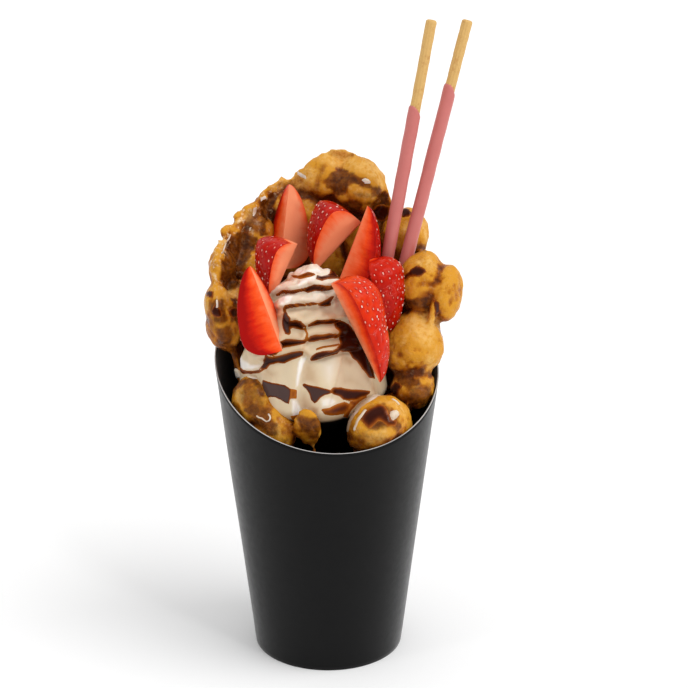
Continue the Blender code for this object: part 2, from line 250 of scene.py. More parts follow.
def lofted(rings: Array, values: dict[str, Array] | None = None) -> Surface:
    """A closed tube through rings of points, with a point in the middle of its first and last ring.

    Args:
        rings: array of rings x points x 3; the points of a ring run round it.
        values: arrays of rings x points.

    Returns:
        The surface, whose faces all point out.
    """
    count, around = rings.shape[:2]
    points = rings.reshape(-1, 3)
    first, last = rings[0].mean(0), rings[-1].mean(0)
    points = np.concatenate([points, [first], [last]])
    quads = grid_faces(count, around, True)
    ring = np.arange(around)
    beside = (ring + 1) % around
    start, end = count * around, count * around + 1
    base = (count - 1) * around
    caps = np.concatenate([
        np.stack([np.full(around, start), beside, ring], 1),
        np.stack([np.full(around, end), ring + base, beside + base], 1),
    ])
    triangles = np.concatenate([quads[:, :3], quads[:, [0, 2, 3]], caps])
    corners = points[triangles]
    if (corners[:, 0] * np.cross(corners[:, 1], corners[:, 2])).sum() < 0.0:
        quads, caps = quads[:, ::-1], caps[:, ::-1]
    faces = [tuple(face) for face in quads.tolist() + caps.tolist()]
    kept = {}
    for name, value in (values or {}).items():
        kept[name] = np.concatenate([value.ravel(), [value[0].mean()], [value[-1].mean()]])
    return Surface(points, faces, kept)


def carried(path: Array, width: Array, height: Array, up: Array, around: int) -> Array:
    """Rings of an oval profile carried along a path, each square to it.

    Args:
        path: points along the middle.
        width: half-width of the oval at each point, across the path and level with the surface.
        height: half-height of the oval at each point, along up.
        up: the direction that the oval's height follows at each point.
        around: points in each ring.

    Returns:
        Array of path points x around x 3.
    """
    along = np.gradient(path, axis=0)
    along /= np.linalg.norm(along, axis=1, keepdims=True)
    lift = up - along * (up * along).sum(1, keepdims=True)
    lift /= np.linalg.norm(lift, axis=1, keepdims=True)
    side = np.cross(lift, along)
    angle = np.linspace(0.0, 2.0 * np.pi, around, endpoint=False)
    across = np.cos(angle)[None, :, None] * (side * width[:, None])[:, None, :]
    rise = np.sin(angle)[None, :, None] * (lift * height[:, None])[:, None, :]
    return path[:, None, :] + across - rise


def mesh_arrays(mesh: bpy.types.Mesh) -> tuple[Array, Array, Array]:
    """Reads a mesh into arrays.

    Args:
        mesh: the mesh.

    Returns:
        Its points in millimetres about the axis, its normals, and the two ends of each edge.
    """
    points = np.empty(len(mesh.vertices) * 3)
    mesh.vertices.foreach_get("co", points)
    normals = np.empty(len(mesh.vertices) * 3)
    mesh.vertices.foreach_get("normal", normals)
    edges = np.empty(len(mesh.edges) * 2, np.int64)
    mesh.edges.foreach_get("vertices", edges)
    return points.reshape(-1, 3) / MM - AXIS, normals.reshape(-1, 3), edges.reshape(-1, 2)


def quads_of(mesh: bpy.types.Mesh) -> Array:
    """The corners of a mesh's faces that have four.

    Args:
        mesh: the mesh.

    Returns:
        One row of four point numbers for each.
    """
    loops = np.empty(len(mesh.loops), np.int64)
    mesh.loops.foreach_get("vertex_index", loops)
    starts = np.empty(len(mesh.polygons), np.int64)
    mesh.polygons.foreach_get("loop_start", starts)
    totals = np.empty(len(mesh.polygons), np.int64)
    mesh.polygons.foreach_get("loop_total", totals)
    return loops[starts[totals == 4][:, None] + np.arange(4)[None, :]]


def relaxed(points: Array, edges: Array, rounds: int) -> Array:
    """Moves each point half-way to the middle of its neighbours, a number of times.

    Args:
        points: the points.
        edges: the two ends of each edge.
        rounds: how many times.

    Returns:
        The moved points.
    """
    ends = np.concatenate([edges[:, 0], edges[:, 1]])
    others = np.concatenate([edges[:, 1], edges[:, 0]])
    count = np.bincount(ends, minlength=len(points))[:, None].clip(1)
    for _ in range(rounds):
        total = np.stack([np.bincount(ends, points[others, k], len(points)) for k in range(3)], 1)
        points = 0.5 * points + 0.5 * total / count
    return points


def crowding(points: Array, normals: Array, reach: float) -> Array:
    """How much surface lies around the place that is a reach straight out from each point.

    The points are counted in cubes, the counts are blurred by a Gaussian a reach wide, and the blurred
    count is read at each place and shared by its usual size, so that open skin gives about 0.

    Args:
        points: the surface's points, evenly spread.
        normals: its normals.
        reach: how far out to look, in millimetres.

    Returns:
        One value for each point: near 0 in the open, 1 and more in tight hollows.
    """
    cell = reach / 2.5
    low = points.min(0) - 3.0 * reach
    size = np.ceil((points.max(0) + 3.0 * reach - low) / cell).astype(int) + 1
    count = np.zeros(size)
    np.add.at(count, tuple(((points - low) / cell).astype(int).T), 1.0)
    rates = np.fft.fftfreq(size[0]), np.fft.fftfreq(size[1]), np.fft.rfftfreq(size[2])
    waves = np.meshgrid(*rates, indexing="ij")
    blur = np.exp(-2.0 * (np.pi * reach / cell * 0.6) ** 2 * sum(wave**2 for wave in waves))
    count = np.fft.irfftn(np.fft.rfftn(count) * blur, size)
    out = ((points + normals * reach * 1.3 - low) / cell).astype(int)
    found = count[tuple(out.T)]
    usual = np.percentile(found, 30)
    return np.clip(found / usual - 1.0, 0.0, 4.0) / 2.0


@dataclass(frozen=True)
class PhotoCamera:
    """The camera that was fitted to the cup's outline in the photograph."""

    elevation: float = 21.3
    distance: float = 1000.0
    focal_pixels: float = 2327.0
    aim: tuple[float, float, float] = (6.75, 0.0, 141.0)
    picture: tuple[int, int] = (687, 688)
    sensor: float = 36.0

    def axes(self) -> tuple[Array, Array]:
        """The unit vectors back towards the camera, and up in its picture."""
        tilt = math.radians(self.elevation)
        back = np.array([0.0, -math.cos(tilt), math.sin(tilt)])
        up = np.array([0.0, math.sin(tilt), math.cos(tilt)])
        return back, up

    def place(self) -> Array:
        """The camera's place, in millimetres about the cup's axis."""
        return np.array(self.aim) + self.distance * self.axes()[0]

    def project(self, points: Array) -> tuple[Array, Array]:
        """Where points fall in the picture: their offset from the camera over their depth, in pixels.

        Args:
            points: places in millimetres about the axis.

        Returns:
            The pixels across and down, and the depths in front of the camera.
        """
        back, up = self.axes()
        seen = points - self.place()
        depth = -(seen @ back)
        across = self.picture[0] / 2 + self.focal_pixels * seen[:, 0] / depth
        down = self.picture[1] / 2 - self.focal_pixels * (seen @ up) / depth
        return np.stack([across, down], 1), depth

    def make(self) -> None:
        """Adds the camera and makes it the scene's."""
        data = bpy.data.cameras.new("photo_camera")
        data.sensor_width = self.sensor
        data.lens = self.focal_pixels / max(self.picture) * self.sensor
        data.clip_start, data.clip_end = 0.05, 20.0
        camera = bpy.data.objects.new("photo_camera", data)
        camera.location = (self.place() + AXIS) * MM
        camera.rotation_euler = (math.radians(90.0 - self.elevation), 0.0, 0.0)
        bpy.context.scene.collection.objects.link(camera)
        bpy.context.scene.camera = camera


CAMERA = PhotoCamera()


class SocketKind(Enum):
    """The kinds of socket that the shared node group has."""

    NUMBER = "NodeSocketFloat"
    VECTOR = "NodeSocketVector"


class Nodes:
    """A node tree with short calls to add nodes to it and to join them."""

    def __init__(self, tree: bpy.types.NodeTree) -> None:
        """Keeps the tree that the nodes go in."""
        self.tree = tree

    def add(self, kind: str, settings: dict | None = None, **inputs: object) -> bpy.types.Node:
        """Adds a node.

        Args:
            kind: the node's type name.
            settings: values for the node's own properties.
            inputs: for each input, by name with _ for a space or by i and its number, a value or a socket.

        Returns:
            The new node.
        """
        node = self.tree.nodes.new(kind)
        for key, value in (settings or {}).items():
            setattr(node, key, value)
        for key, value in inputs.items():
            place = int(key[1:]) if key[0] == "i" and key[1:].isdigit() else key.replace("_", " ")
            self.give(node.inputs[place], value)
        return node

    def give(self, socket: Socket, value: object) -> None:
        """Joins a socket to an input, or puts a value on it.

        Args:
            socket: the input.
            value: a number, a vector, a colour or another node's output.
        """
        if isinstance(value, Socket):
            self.tree.links.new(value, socket)
        elif isinstance(value, tuple) and socket.type == "RGBA":
            socket.default_value = (*value[:3], 1.0)
        else:
            socket.default_value = value

    def maths(self, operation: str, first: object, second: object = 0.5) -> Socket:
        """The result of a Math node on two values or sockets."""
        return self.add("ShaderNodeMath", {"operation": operation}, i0=first, i1=second).outputs[0]

    def swing(self, value: object, share: float) -> Socket:
        """How far a value from 0 to 1 is off its middle, times a share."""
        return self.maths("MULTIPLY", self.maths("SUBTRACT", value, 0.5), share)

    def span(self, value: object, low: float, high: float, to: tuple[float, float] = (0, 1)) -> Socket:
        """Takes a value smoothly from one span to another.

        Args:
            value: the value or socket.
            low: where the first span starts.
            high: where it ends.
            to: the ends of the second span.

        Returns:
            The new value.
        """
        node = self.add("ShaderNodeMapRange", {"interpolation_type": "SMOOTHSTEP"}, Value=value)
        for key, number in zip(("From Min", "From Max", "To Min", "To Max"), (low, high, *to)):
            node.inputs[key].default_value = number
        return node.outputs[0]

    def mixed(self, share: object, first: object, second: object) -> Socket:
        """Mixes two colours.

        Args:
            share: how much of the second one there is, from 0 to 1.
            first: a colour or socket.
            second: another.

        Returns:
            The mixed colour.
        """
        node = self.add("ShaderNodeMix", {"data_type": "RGBA"}, i0=share, i6=first, i7=second)
        return node.outputs[2]

    def ramp(self, share: object, stops: Sequence[tuple[float, Colour]]) -> Socket:
        """Reads a colour from a ramp.

        Args:
            share: the place to read, from 0 to 1.
            stops: the places along the ramp, each with its colour.

        Returns:
            The colour there.
        """
        node = self.add("ShaderNodeValToRGB", Fac=share)
        ramp = node.color_ramp
        while len(ramp.elements) < len(stops):
            ramp.elements.new(1.0)
        for element, (place, colour) in zip(ramp.elements, stops):
            element.position = place
            element.color = (*colour, 1.0)
        return node.outputs[0]

    def value(self, name: str) -> Socket:
        """The value at the piece's points that carries this name."""
        return self.add("ShaderNodeAttribute", {"attribute_name": name}).outputs["Fac"]

    def place(self) -> Socket:
        """The place on the piece, in metres."""
        return self.add("ShaderNodeTexCoord").outputs["Object"]

    def speckle(self, size: float, detail: float = 3.0, rough: float = 0.55) -> Socket:
        """Noise from 0 to 1 over the piece.

        Args:
            size: about how wide its lumps are, in millimetres.
            detail: how many finer sizes are added.
            rough: how strong each finer size is beside the one before.

        Returns:
            The noise.
        """
        node = self.add("ShaderNodeTexNoise", Vector=self.place(), Scale=1.0 / (size * MM), Detail=detail,
                        Roughness=rough)
        return node.outputs[0]


def effect(name: str, inputs: Sequence[tuple[str, SocketKind, object]],
           outputs: Sequence[tuple[str, SocketKind]],
           build: Callable[[Nodes, dict, dict], None]) -> bpy.types.NodeTree:
    """A shader node group that several materials share.

    Args:
        name: the group's name.
        inputs: name, kind and usual value of each input.
        outputs: name and kind of each output.
        build: adds the nodes, given the tree, the inputs' sockets and the outputs' sockets.

    Returns:
        The group's tree.
    """
    tree = bpy.data.node_groups.new(name, "ShaderNodeTree")
    for label, kind, usual in inputs:
        socket = tree.interface.new_socket(name=label, in_out="INPUT", socket_type=kind.value)
        socket.default_value = usual
    for label, kind in outputs:
        tree.interface.new_socket(name=label, in_out="OUTPUT", socket_type=kind.value)
    start = tree.nodes.new("NodeGroupInput")
    end = tree.nodes.new("NodeGroupOutput")
    given = {label: start.outputs[label] for label, _, _ in inputs}
    wanted = {label: end.inputs[label] for label, _ in outputs}
    build(Nodes(tree), given, wanted)
    return tree


def build_relief(nodes: Nodes, given: dict, wanted: dict) -> None:
    """Fine surface relief: two sizes of noise added up, and the normal that their height bends.

    Args:
        nodes: the group's tree.
        given: its inputs by name.
        wanted: its outputs by name.
    """
    place = nodes.place()
    coarse_scale = nodes.maths("DIVIDE", 1.0 / MM, given["Size"])
    coarse = nodes.add("ShaderNodeTexNoise", Vector=place, Scale=coarse_scale, Detail=2.0, Roughness=0.5)
    fine_scale = nodes.maths("MULTIPLY", coarse_scale, 3.7)
    fine = nodes.add("ShaderNodeTexNoise", Vector=place, Scale=fine_scale, Detail=4.0, Roughness=0.6)
    height = nodes.maths("ADD", coarse.outputs[0], nodes.maths("MULTIPLY", fine.outputs[0], given["Grain"]))
    bump = nodes.add("ShaderNodeBump", Height=height, Strength=given["Strength"], Distance=given["Depth"])
    nodes.tree.links.new(bump.outputs[0], wanted["Normal"])
    nodes.tree.links.new(height, wanted["Height"])


RELIEF = effect(
    "fine_relief",
    (("Size", SocketKind.NUMBER, 2.0), ("Grain", SocketKind.NUMBER, 0.4),
     ("Strength", SocketKind.NUMBER, 0.5), ("Depth", SocketKind.NUMBER, 0.0005)),
    (("Normal", SocketKind.VECTOR), ("Height", SocketKind.NUMBER)),
    build_relief,
)


class Finish:
    """A material that is built once: each kind of finish adds its own nodes."""

    name = "finish"
    roughness = 0.5
    specular = 0.3
    coat = (0.0, 0.0)

    def __init__(self) -> None:
        """Makes the material and lets the finish add its nodes."""
        self.material = bpy.data.materials.new(self.name)
        self.material.use_nodes = True
        self.nodes = Nodes(self.material.node_tree)
        self.shader = self.material.node_tree.nodes["Principled BSDF"]
        self.feed("Roughness", self.roughness)
        self.feed("Specular IOR Level", self.specular)
        if any(self.coat):
            self.feed("Coat Weight", self.coat[0])
            self.feed("Coat Roughness", self.coat[1])
        self.paint()

    def paint(self) -> None:
        """Adds the finish's own nodes."""

    def feed(self, name: str, value: object) -> None:
        """Joins a socket to one of the shader's inputs, or puts a value on it."""
        self.nodes.give(self.shader.inputs[name], value)

    def relief(self, size: float, grain: float, strength: float, depth: float) -> Socket:
        """Roughens the finish with the shared fine relief.

        Args:
            size: the width of its coarser lumps, in millimetres.
            grain: how strong the finer ones are beside them.
            strength: how far the normal follows them, from 0 to 1.
            depth: their height, in millimetres.

        Returns:
            The relief's height, from about 0 to 1.
        """
        node = self.nodes.add("ShaderNodeGroup", {"node_tree": RELIEF})
        inputs = {"Size": size, "Grain": grain, "Strength": strength, "Depth": depth * MM}
        for label, number in inputs.items():
            node.inputs[label].default_value = number
        self.feed("Normal", node.outputs["Normal"])
        return node.outputs["Height"]


class BlackCard(Finish):
    """Satin black coated card, light grey where the rim's cut edge shows its core."""

    name = "black_card"
    specular = 0.12

    def paint(self) -> None:
        """Darkest black with faint fibres, and a pale cut edge."""
        cloud = self.nodes.speckle(9.0, 4.0)
        card = self.nodes.mixed(cloud, (0.0012, 0.0012, 0.0014), (0.003, 0.0029, 0.0031))
        self.feed("Base Color", self.nodes.mixed(self.nodes.value("cut_edge"), card, (0.52, 0.51, 0.5)))
        self.feed("Roughness", self.nodes.span(self.nodes.speckle(3.0, 5.0), 0.3, 0.7, (0.38, 0.48)))
        self.feed("Sheen Weight", 0.34)
        self.feed("Sheen Roughness", 0.35)
        self.relief(1.1, 0.5, 0.25, 0.05)


class GoldenWaffle(Finish):
    """Baked egg waffle: golden yellow crowns, tan crust, paler crisp freckles, painted shade lower down and
    painted highlights.
    """

    name = "golden_waffle"
    specular = 0.1
    coat = (0.0, 0.15)

    def paint(self) -> None:
        """Mixes the crust's colours, with their painted shade and highlights, by the values at the points and
        by noise of several sizes.
        """
        nodes = self.nodes
        height = self.relief(1.5, 0.6, 0.75, 0.55)
        bake = nodes.value("bake")
        # The relief's height makes raised grain lighter and its dips darker: painted shade.
        for lump, share in ((nodes.speckle(12.0), 0.8), (nodes.speckle(3.4, 4.0, 0.6), 0.6), (height, -0.35)):
            bake = nodes.maths("ADD", bake, nodes.swing(lump, share))
        crust = nodes.ramp(bake, (
            (0.0, (0.68, 0.30, 0.022)), (0.3, (0.46, 0.15, 0.005)), (0.55, (0.29, 0.072, 0.0015)),
            (0.8, (0.14, 0.029, 0.0015)), (1.0, (0.065, 0.013, 0.0012)),
        ))
        # Paler crust, partly painted highlights, where the value pale is.
        patchy = nodes.span(nodes.speckle(1.9, 4.0, 0.6), 0.3, 0.62)
        pale = nodes.maths("MULTIPLY", nodes.value("pale"), patchy)
        crust = nodes.mixed(pale, crust, (0.80, 0.45, 0.11))
        # Pale crisp freckles, most where the value lace is, on the lacy left edge: partly a painted sheen.
        freckles_and_sheen = nodes.span(nodes.speckle(2.1, 5.0, 0.65), 0.5, 0.72)
        freckles_and_sheen = nodes.maths("MULTIPLY", freckles_and_sheen, nodes.maths("ADD", nodes.value("lace"), 0.12))
        crust = nodes.mixed(freckles_and_sheen, crust, (0.86, 0.66, 0.40))
        # Chocolate film over the crust, and painted shadow where the traced patches stand for shade.
        mottle = nodes.swing(nodes.speckle(2.2, 4.0, 0.6), 0.7)
        stain_and_shade = nodes.span(nodes.maths("ADD", nodes.value("stain_and_shade"), mottle), 0.1, 1.05, (0, 0.86))
        thin = nodes.span(nodes.speckle(2.4, 4.0), 0.38, 0.64)
        film = nodes.mixed(thin, (0.08, 0.02, 0.002), (0.21, 0.06, 0.004))
        crust = nodes.mixed(stain_and_shade, crust, film)
        # Painted shade: near black low in the cone, inside the cup.
        self.feed("Base Color", nodes.mixed(nodes.value("painted_deep_shade"), crust, (0.002, 0.001, 0.0006)))
        wet = nodes.maths("MAXIMUM", stain_and_shade, nodes.span(nodes.speckle(6.0), 0.45, 0.62))
        self.feed("Roughness", nodes.span(wet, 0.0, 1.0, (0.42, 0.17)))
        self.feed("Coat Weight", nodes.maths("MULTIPLY", wet, 0.12))


class Chocolate(Finish):
    """Glossy chocolate sauce: nearly black where thick, red-brown to amber where it thins out, grey where a
    sheen is painted.
    """

    name = "chocolate_sauce"
    roughness = 0.18
    specular = 0.06
    coat = (0.1, 0.05)

    def paint(self) -> None:
        """Mixes thick and thin sauce by the depth at the points."""
        nodes = self.nodes
        cloud = nodes.swing(nodes.speckle(4.0), 0.3)
        sauce = nodes.ramp(nodes.maths("ADD", nodes.value("depth"), cloud), (
            (0.0, (0.42, 0.125, 0.01)), (0.25, (0.24, 0.05, 0.003)), (0.55, (0.09, 0.015, 0.0015)),
            (0.85, (0.045, 0.006, 0.0008)), (1.0, (0.034, 0.004, 0.0006)),
        ))
        # Painted sheen: thick sauce turns grey where the value grey is.
        thick = nodes.span(nodes.value("depth"), 0.35, 0.9, (0, 0.9))
        grey = nodes.maths("MULTIPLY", nodes.value("grey"), thick)
        self.feed("Base Color", nodes.mixed(grey, sauce, (0.085, 0.05, 0.044)))
        self.relief(2.6, 0.2, 0.3, 0.15)


class VanillaCream(Finish):
    """Smooth ice cream, darker in its hollows by painted shade, with a wet sheen, painted white highlights
    and the faintest ice grain.
    """

    name = "vanilla_cream"
    roughness = 0.36
    coat = (0.15, 0.25)

    def paint(self) -> None:
        """Cream with painted shade in creases, a tint and painted shade where sauce has run over it, and
        painted white highlights.
        """
        nodes = self.nodes
        cream = nodes.mixed(nodes.speckle(8.0), (0.68, 0.53, 0.335), (0.75, 0.61, 0.425))
        # White: painted highlights and whiter cream.
        cream = nodes.mixed(nodes.value("milky_and_highlight"), cream, (0.9, 0.84, 0.77))
        # Sauce tint, and painted shade in creases and over the lines of sauce.
        cream = nodes.mixed(nodes.value("stain_and_shade"), cream, (0.44, 0.24, 0.11))
        # Painted shade: near black low down, in the gap inside the cup.
        self.feed("Base Color", nodes.mixed(nodes.value("painted_deep_shade"), cream, (0.002, 0.001, 0.0006)))
        self.feed("Subsurface Weight", 0.12)
        self.feed("Subsurface Radius", (0.9, 0.5, 0.25))
        self.feed("Subsurface Scale", 0.002)
        self.relief(1.3, 0.5, 0.22, 0.15)


class Strawberry(Finish):
    """Wet red skin with painted glints and painted shade in its seed dimples, and paler streaked flesh on the
    cut sides.
    """

    name = "ripe_strawberry"
    specular = 0.07
    coat = (0.07, 0.08)

    def paint(self) -> None:
        """Skin where the value skin is 1, and flesh that pales from the skin to the core elsewhere."""
        nodes = self.nodes
        ripe = nodes.maths("ADD", nodes.value("ripe"), nodes.swing(nodes.speckle(7.0, 2.0), 0.5))
        skin = nodes.ramp(ripe, (
            (0.0, (0.86, 0.09, 0.008)), (0.35, (0.66, 0.022, 0.003)), (0.7, (0.43, 0.004, 0.001)),
            (1.0, (0.26, 0.002, 0.002)),
        ))
        # Painted reflections: a faint pink network of wet glints on the skin.
        ridge = nodes.maths("ABSOLUTE", nodes.maths("SUBTRACT", nodes.speckle(3.4, 2.0), 0.5))
        where = nodes.span(nodes.speckle(9.0), 0.45, 0.6, (0, 0.5))
        painted_wet_glint = nodes.maths("MULTIPLY", nodes.span(ridge, 0.018, 0.0), where)
        skin = nodes.mixed(painted_wet_glint, skin, (0.72, 0.19, 0.17))
        # Painted shade in the seed dimples.
        skin = nodes.mixed(nodes.maths("MULTIPLY", nodes.value("pit"), 0.5), skin, (0.35, 0.006, 0.003))
        along = nodes.maths("MULTIPLY", nodes.value("along"), 15.0)
        reach = nodes.maths("MULTIPLY", nodes.value("reach"), 1.8)
        place = nodes.add("ShaderNodeCombineXYZ", X=along, Y=reach, Z=nodes.value("side")).outputs[0]
        streaks = nodes.add("ShaderNodeTexNoise", Vector=place, Scale=1.0, Detail=4.0, Roughness=0.6)
        fibre = streaks.outputs[0]
        flesh = nodes.ramp(nodes.maths("ADD", nodes.value("red"), nodes.swing(fibre, 0.5)), (
            (0.0, (0.97, 0.33, 0.165)), (0.25, (0.96, 0.19, 0.07)), (0.5, (0.9, 0.08, 0.01)),
            (0.75, (0.64, 0.014, 0.002)), (1.0, (0.36, 0.002, 0.001)),
        ))
        self.feed("Base Color", nodes.mixed(nodes.value("skin"), flesh, skin))
        self.feed("Roughness", nodes.span(nodes.value("skin"), 0.0, 1.0, (0.36, 0.2)))
        self.relief(1.2, 0.5, 0.3, 0.2)


class Seed(Finish):
    """Pale straw-coloured to pinkish seeds with a wet glint; the palest pink is partly a painted glint."""

    name = "berry_seed"
    roughness = 0.25

    def paint(self) -> None:
        """A colour that differs from seed to seed."""
        nodes = self.nodes
        each = nodes.span(nodes.speckle(1.8, 1.0), 0.4, 0.62)
        # Pale pinkish white on some seeds: partly a painted glint.
        self.feed("Base Color", nodes.mixed(each, (0.70, 0.10, 0.05), (0.95, 0.66, 0.55)))
        self.feed("Coat Weight", 0.6)


class Biscuit(Finish):
    """Pale baked biscuit with fine lengthwise grain and a few toasted spots."""

    name = "pale_biscuit"
    roughness = 0.6

    def paint(self) -> None:
        """Pale tan, browned in spots and a little darker along the grain."""
        nodes = self.nodes
        spots = nodes.span(nodes.speckle(3.4, 3.0), 0.56, 0.72)
        tan = nodes.mixed(nodes.speckle(0.9, 4.0), (0.64, 0.38, 0.115), (0.72, 0.455, 0.165))
        self.feed("Base Color", nodes.mixed(nodes.maths("MULTIPLY", spots, 0.6), tan, (0.5, 0.23, 0.06)))
        self.relief(0.8, 0.6, 0.5, 0.2)


class PinkCoating(Finish):
    """Satin strawberry coating with a slightly uneven thickness."""

    name = "pink_coating"
    roughness = 0.42
    coat = (0.12, 0.3)

    def paint(self) -> None:
        """Dusty pink that varies softly along the stick."""
        nodes = self.nodes
        pinks = (0.54, 0.145, 0.13), (0.61, 0.185, 0.165)
        self.feed("Base Color", nodes.mixed(nodes.speckle(6.0, 4.0), *pinks))
        self.relief(2.2, 0.5, 0.3, 0.15)


class PaleFloor(Finish):
    """A plain pale floor."""

    name = "pale_floor"
    roughness = 0.9
    specular = 0.0

    def paint(self) -> None:
        """Nearly white all over."""
        self.feed("Base Color", (0.97, 0.97, 0.97))


def finished(piece: bpy.types.Object, slot: str | None, *nodes: str) -> bpy.types.Object:
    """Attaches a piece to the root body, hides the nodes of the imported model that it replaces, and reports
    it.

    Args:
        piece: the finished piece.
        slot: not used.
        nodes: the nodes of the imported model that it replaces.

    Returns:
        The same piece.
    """
    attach(piece, "root")
    if nodes:
        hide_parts(*nodes)
    LOG.info("%s: %d faces", piece.name, len(piece.data.polygons))
    return piece


@dataclass
class ScoopCup:
    """The paper cup: a slanted rim with a rounded cut edge, a floor set up inside, and a glued side seam."""

    steps: int = 288
    wall_rows: int = 60
    rim_rows: int = 7
    floor_height: float = 6.5
    foot_ring: float = 1.0
    foot_rounding: float = 0.15
    floor_rings: tuple[float, ...] = (0.0, 12.0, 24.0)
    ring_heights: tuple[float, ...] = (0.25, 2.0, 4.5)
    seam_turn: float = 176.0
    seam_width: float = 7.0
    seam_edge: float = 0.8
    seam_step: float = 0.3
    dent: float = 0.22
    dent_height: float = 45.0
    still_edge: float = 12.0

    def rim_tops(self, direction: Array) -> Array:
        """Where the wall's slope meets the slanted plane of the rim.

        Args:
            direction: the unit vectors away from the axis.

        Returns:
            The height of the rim's cut edge in each direction.
        """
        lean = (FRONT_RIM_RADIUS - FOOT_RADIUS) / FRONT_RIM_HEIGHT
        turn = math.radians(RIM_TURN)
        climb = RIM_SLOPE * (direction[:, 1] * math.cos(turn) - direction[:, 0] * math.sin(turn))
        start = FRONT_RIM_HEIGHT + RIM_SLOPE * FRONT_RIM_RADIUS
        return (start + climb * FOOT_RADIUS) / (1.0 - climb * lean) - PAPER / 2

    def outer_side(self, turns: Array, top: Array, heights: Array) -> Array:
        """The wall's outer radius: its slope, soft noise, and one paper's thickness across the seam.

        Args:
            turns: the turns.
            top: the rim's height at each.
            heights: rows of heights at each.

        Returns:
            The radius for each turn and height.
        """
        direction = outward(turns)
        places = direction[:, :1] * 1.6, direction[:, 1:2] * 1.6, heights / self.dent_height
        swell = self.dent * noise(np.stack(np.broadcast_arrays(*places), -1), 1.0, 5)
        across = np.abs((turns - self.seam_turn + 180.0) % 360.0 - 180.0)
        wide, narrow = self.seam_width + self.seam_edge, self.seam_width - self.seam_edge
        seam = self.seam_step * smoothstep(wide, narrow, across)
        below = top[:, None] - heights
        still = smoothstep(0.0, self.still_edge, heights) * smoothstep(0.0, self.still_edge, below)
        begun = smoothstep(0.0, self.still_edge / 2, heights)
        return wall_radius(heights) + swell * still + seam[:, None] * begun

    def profile(self, turns: Array) -> Array:
        """For each turn, the wall from the floor's middle over the rim to the middle underneath.

        Args:
            turns: the turns.

        Returns:
            Array of turns x rows x 3: the radius, the height, and 1 on the cut edge.
        """
        top = self.rim_tops(outward(turns))
        floor_top = self.floor_height + PAPER

        def column(radius: Array, height: Array, value: float = 0.0) -> Array:
            """One or more rows of the profile at all turns."""
            radius, height = np.broadcast_arrays(radius, height)
            return np.stack([radius, height, np.full(radius.shape, value)], -1)

        def level(*numbers: float) -> Array:
            """The same numbers at every turn."""
            return np.array(numbers)[None, :] + 0.0 * turns[:, None]

        rows = np.linspace(0.0, 1.0, self.wall_rows)[None, :]
        inner_heights = floor_top + (top[:, None] - floor_top) * rows
        outer_heights = top[:, None] * (1.0 - rows)
        outer = self.outer_side(turns, top, outer_heights)
        arc = np.radians(np.linspace(180.0, 0.0, self.rim_rows))[None, :]
        rim_radius = wall_radius(top)[:, None] - PAPER / 2 + np.cos(arc) * PAPER / 2
        rim = column(rim_radius, top[:, None] + np.sin(arc) * PAPER / 2 * 0.6, 1.0)
        rim[:, [0, -1], 2] = 0.0
        ring = FOOT_RADIUS - self.foot_ring
        outer_heights[:, -1] = self.foot_rounding
        return np.concatenate([
            column(level(*self.floor_rings), floor_top),
            column(wall_radius(inner_heights) - PAPER, inner_heights), rim, column(outer, outer_heights),
            column(level(FOOT_RADIUS - self.foot_rounding, ring + self.foot_rounding), 0.0),
            column(ring, level(*self.ring_heights, self.floor_height)),
            column(level(*self.floor_rings[::-1]), self.floor_height),
        ], axis=1)

    def build(self) -> bpy.types.Object:
        """Turns the profile into the finished cup."""
        turns = np.arange(self.steps) * 360.0 / self.steps
        rows = np.swapaxes(self.profile(turns), 0, 1)[1:-1]
        points = outward(turns) * rows[..., :1] + rows[..., 1:2] * UP
        surface = lofted(points, {"cut_edge": rows[..., 2]})
        return finished(surface.place("paper_cup", BlackCard().material), "black_card", "cup")


@dataclass
class Bubble:
    """One bubble of the waffle: where it sits, and half its width, length and thickness."""

    turn: float
    height: float
    out: float
    width: float
    length: float
    thickness: float

    def size(self) -> Array:
        """Half its width, length and thickness."""
        return np.array([self.width, self.length, self.thickness])


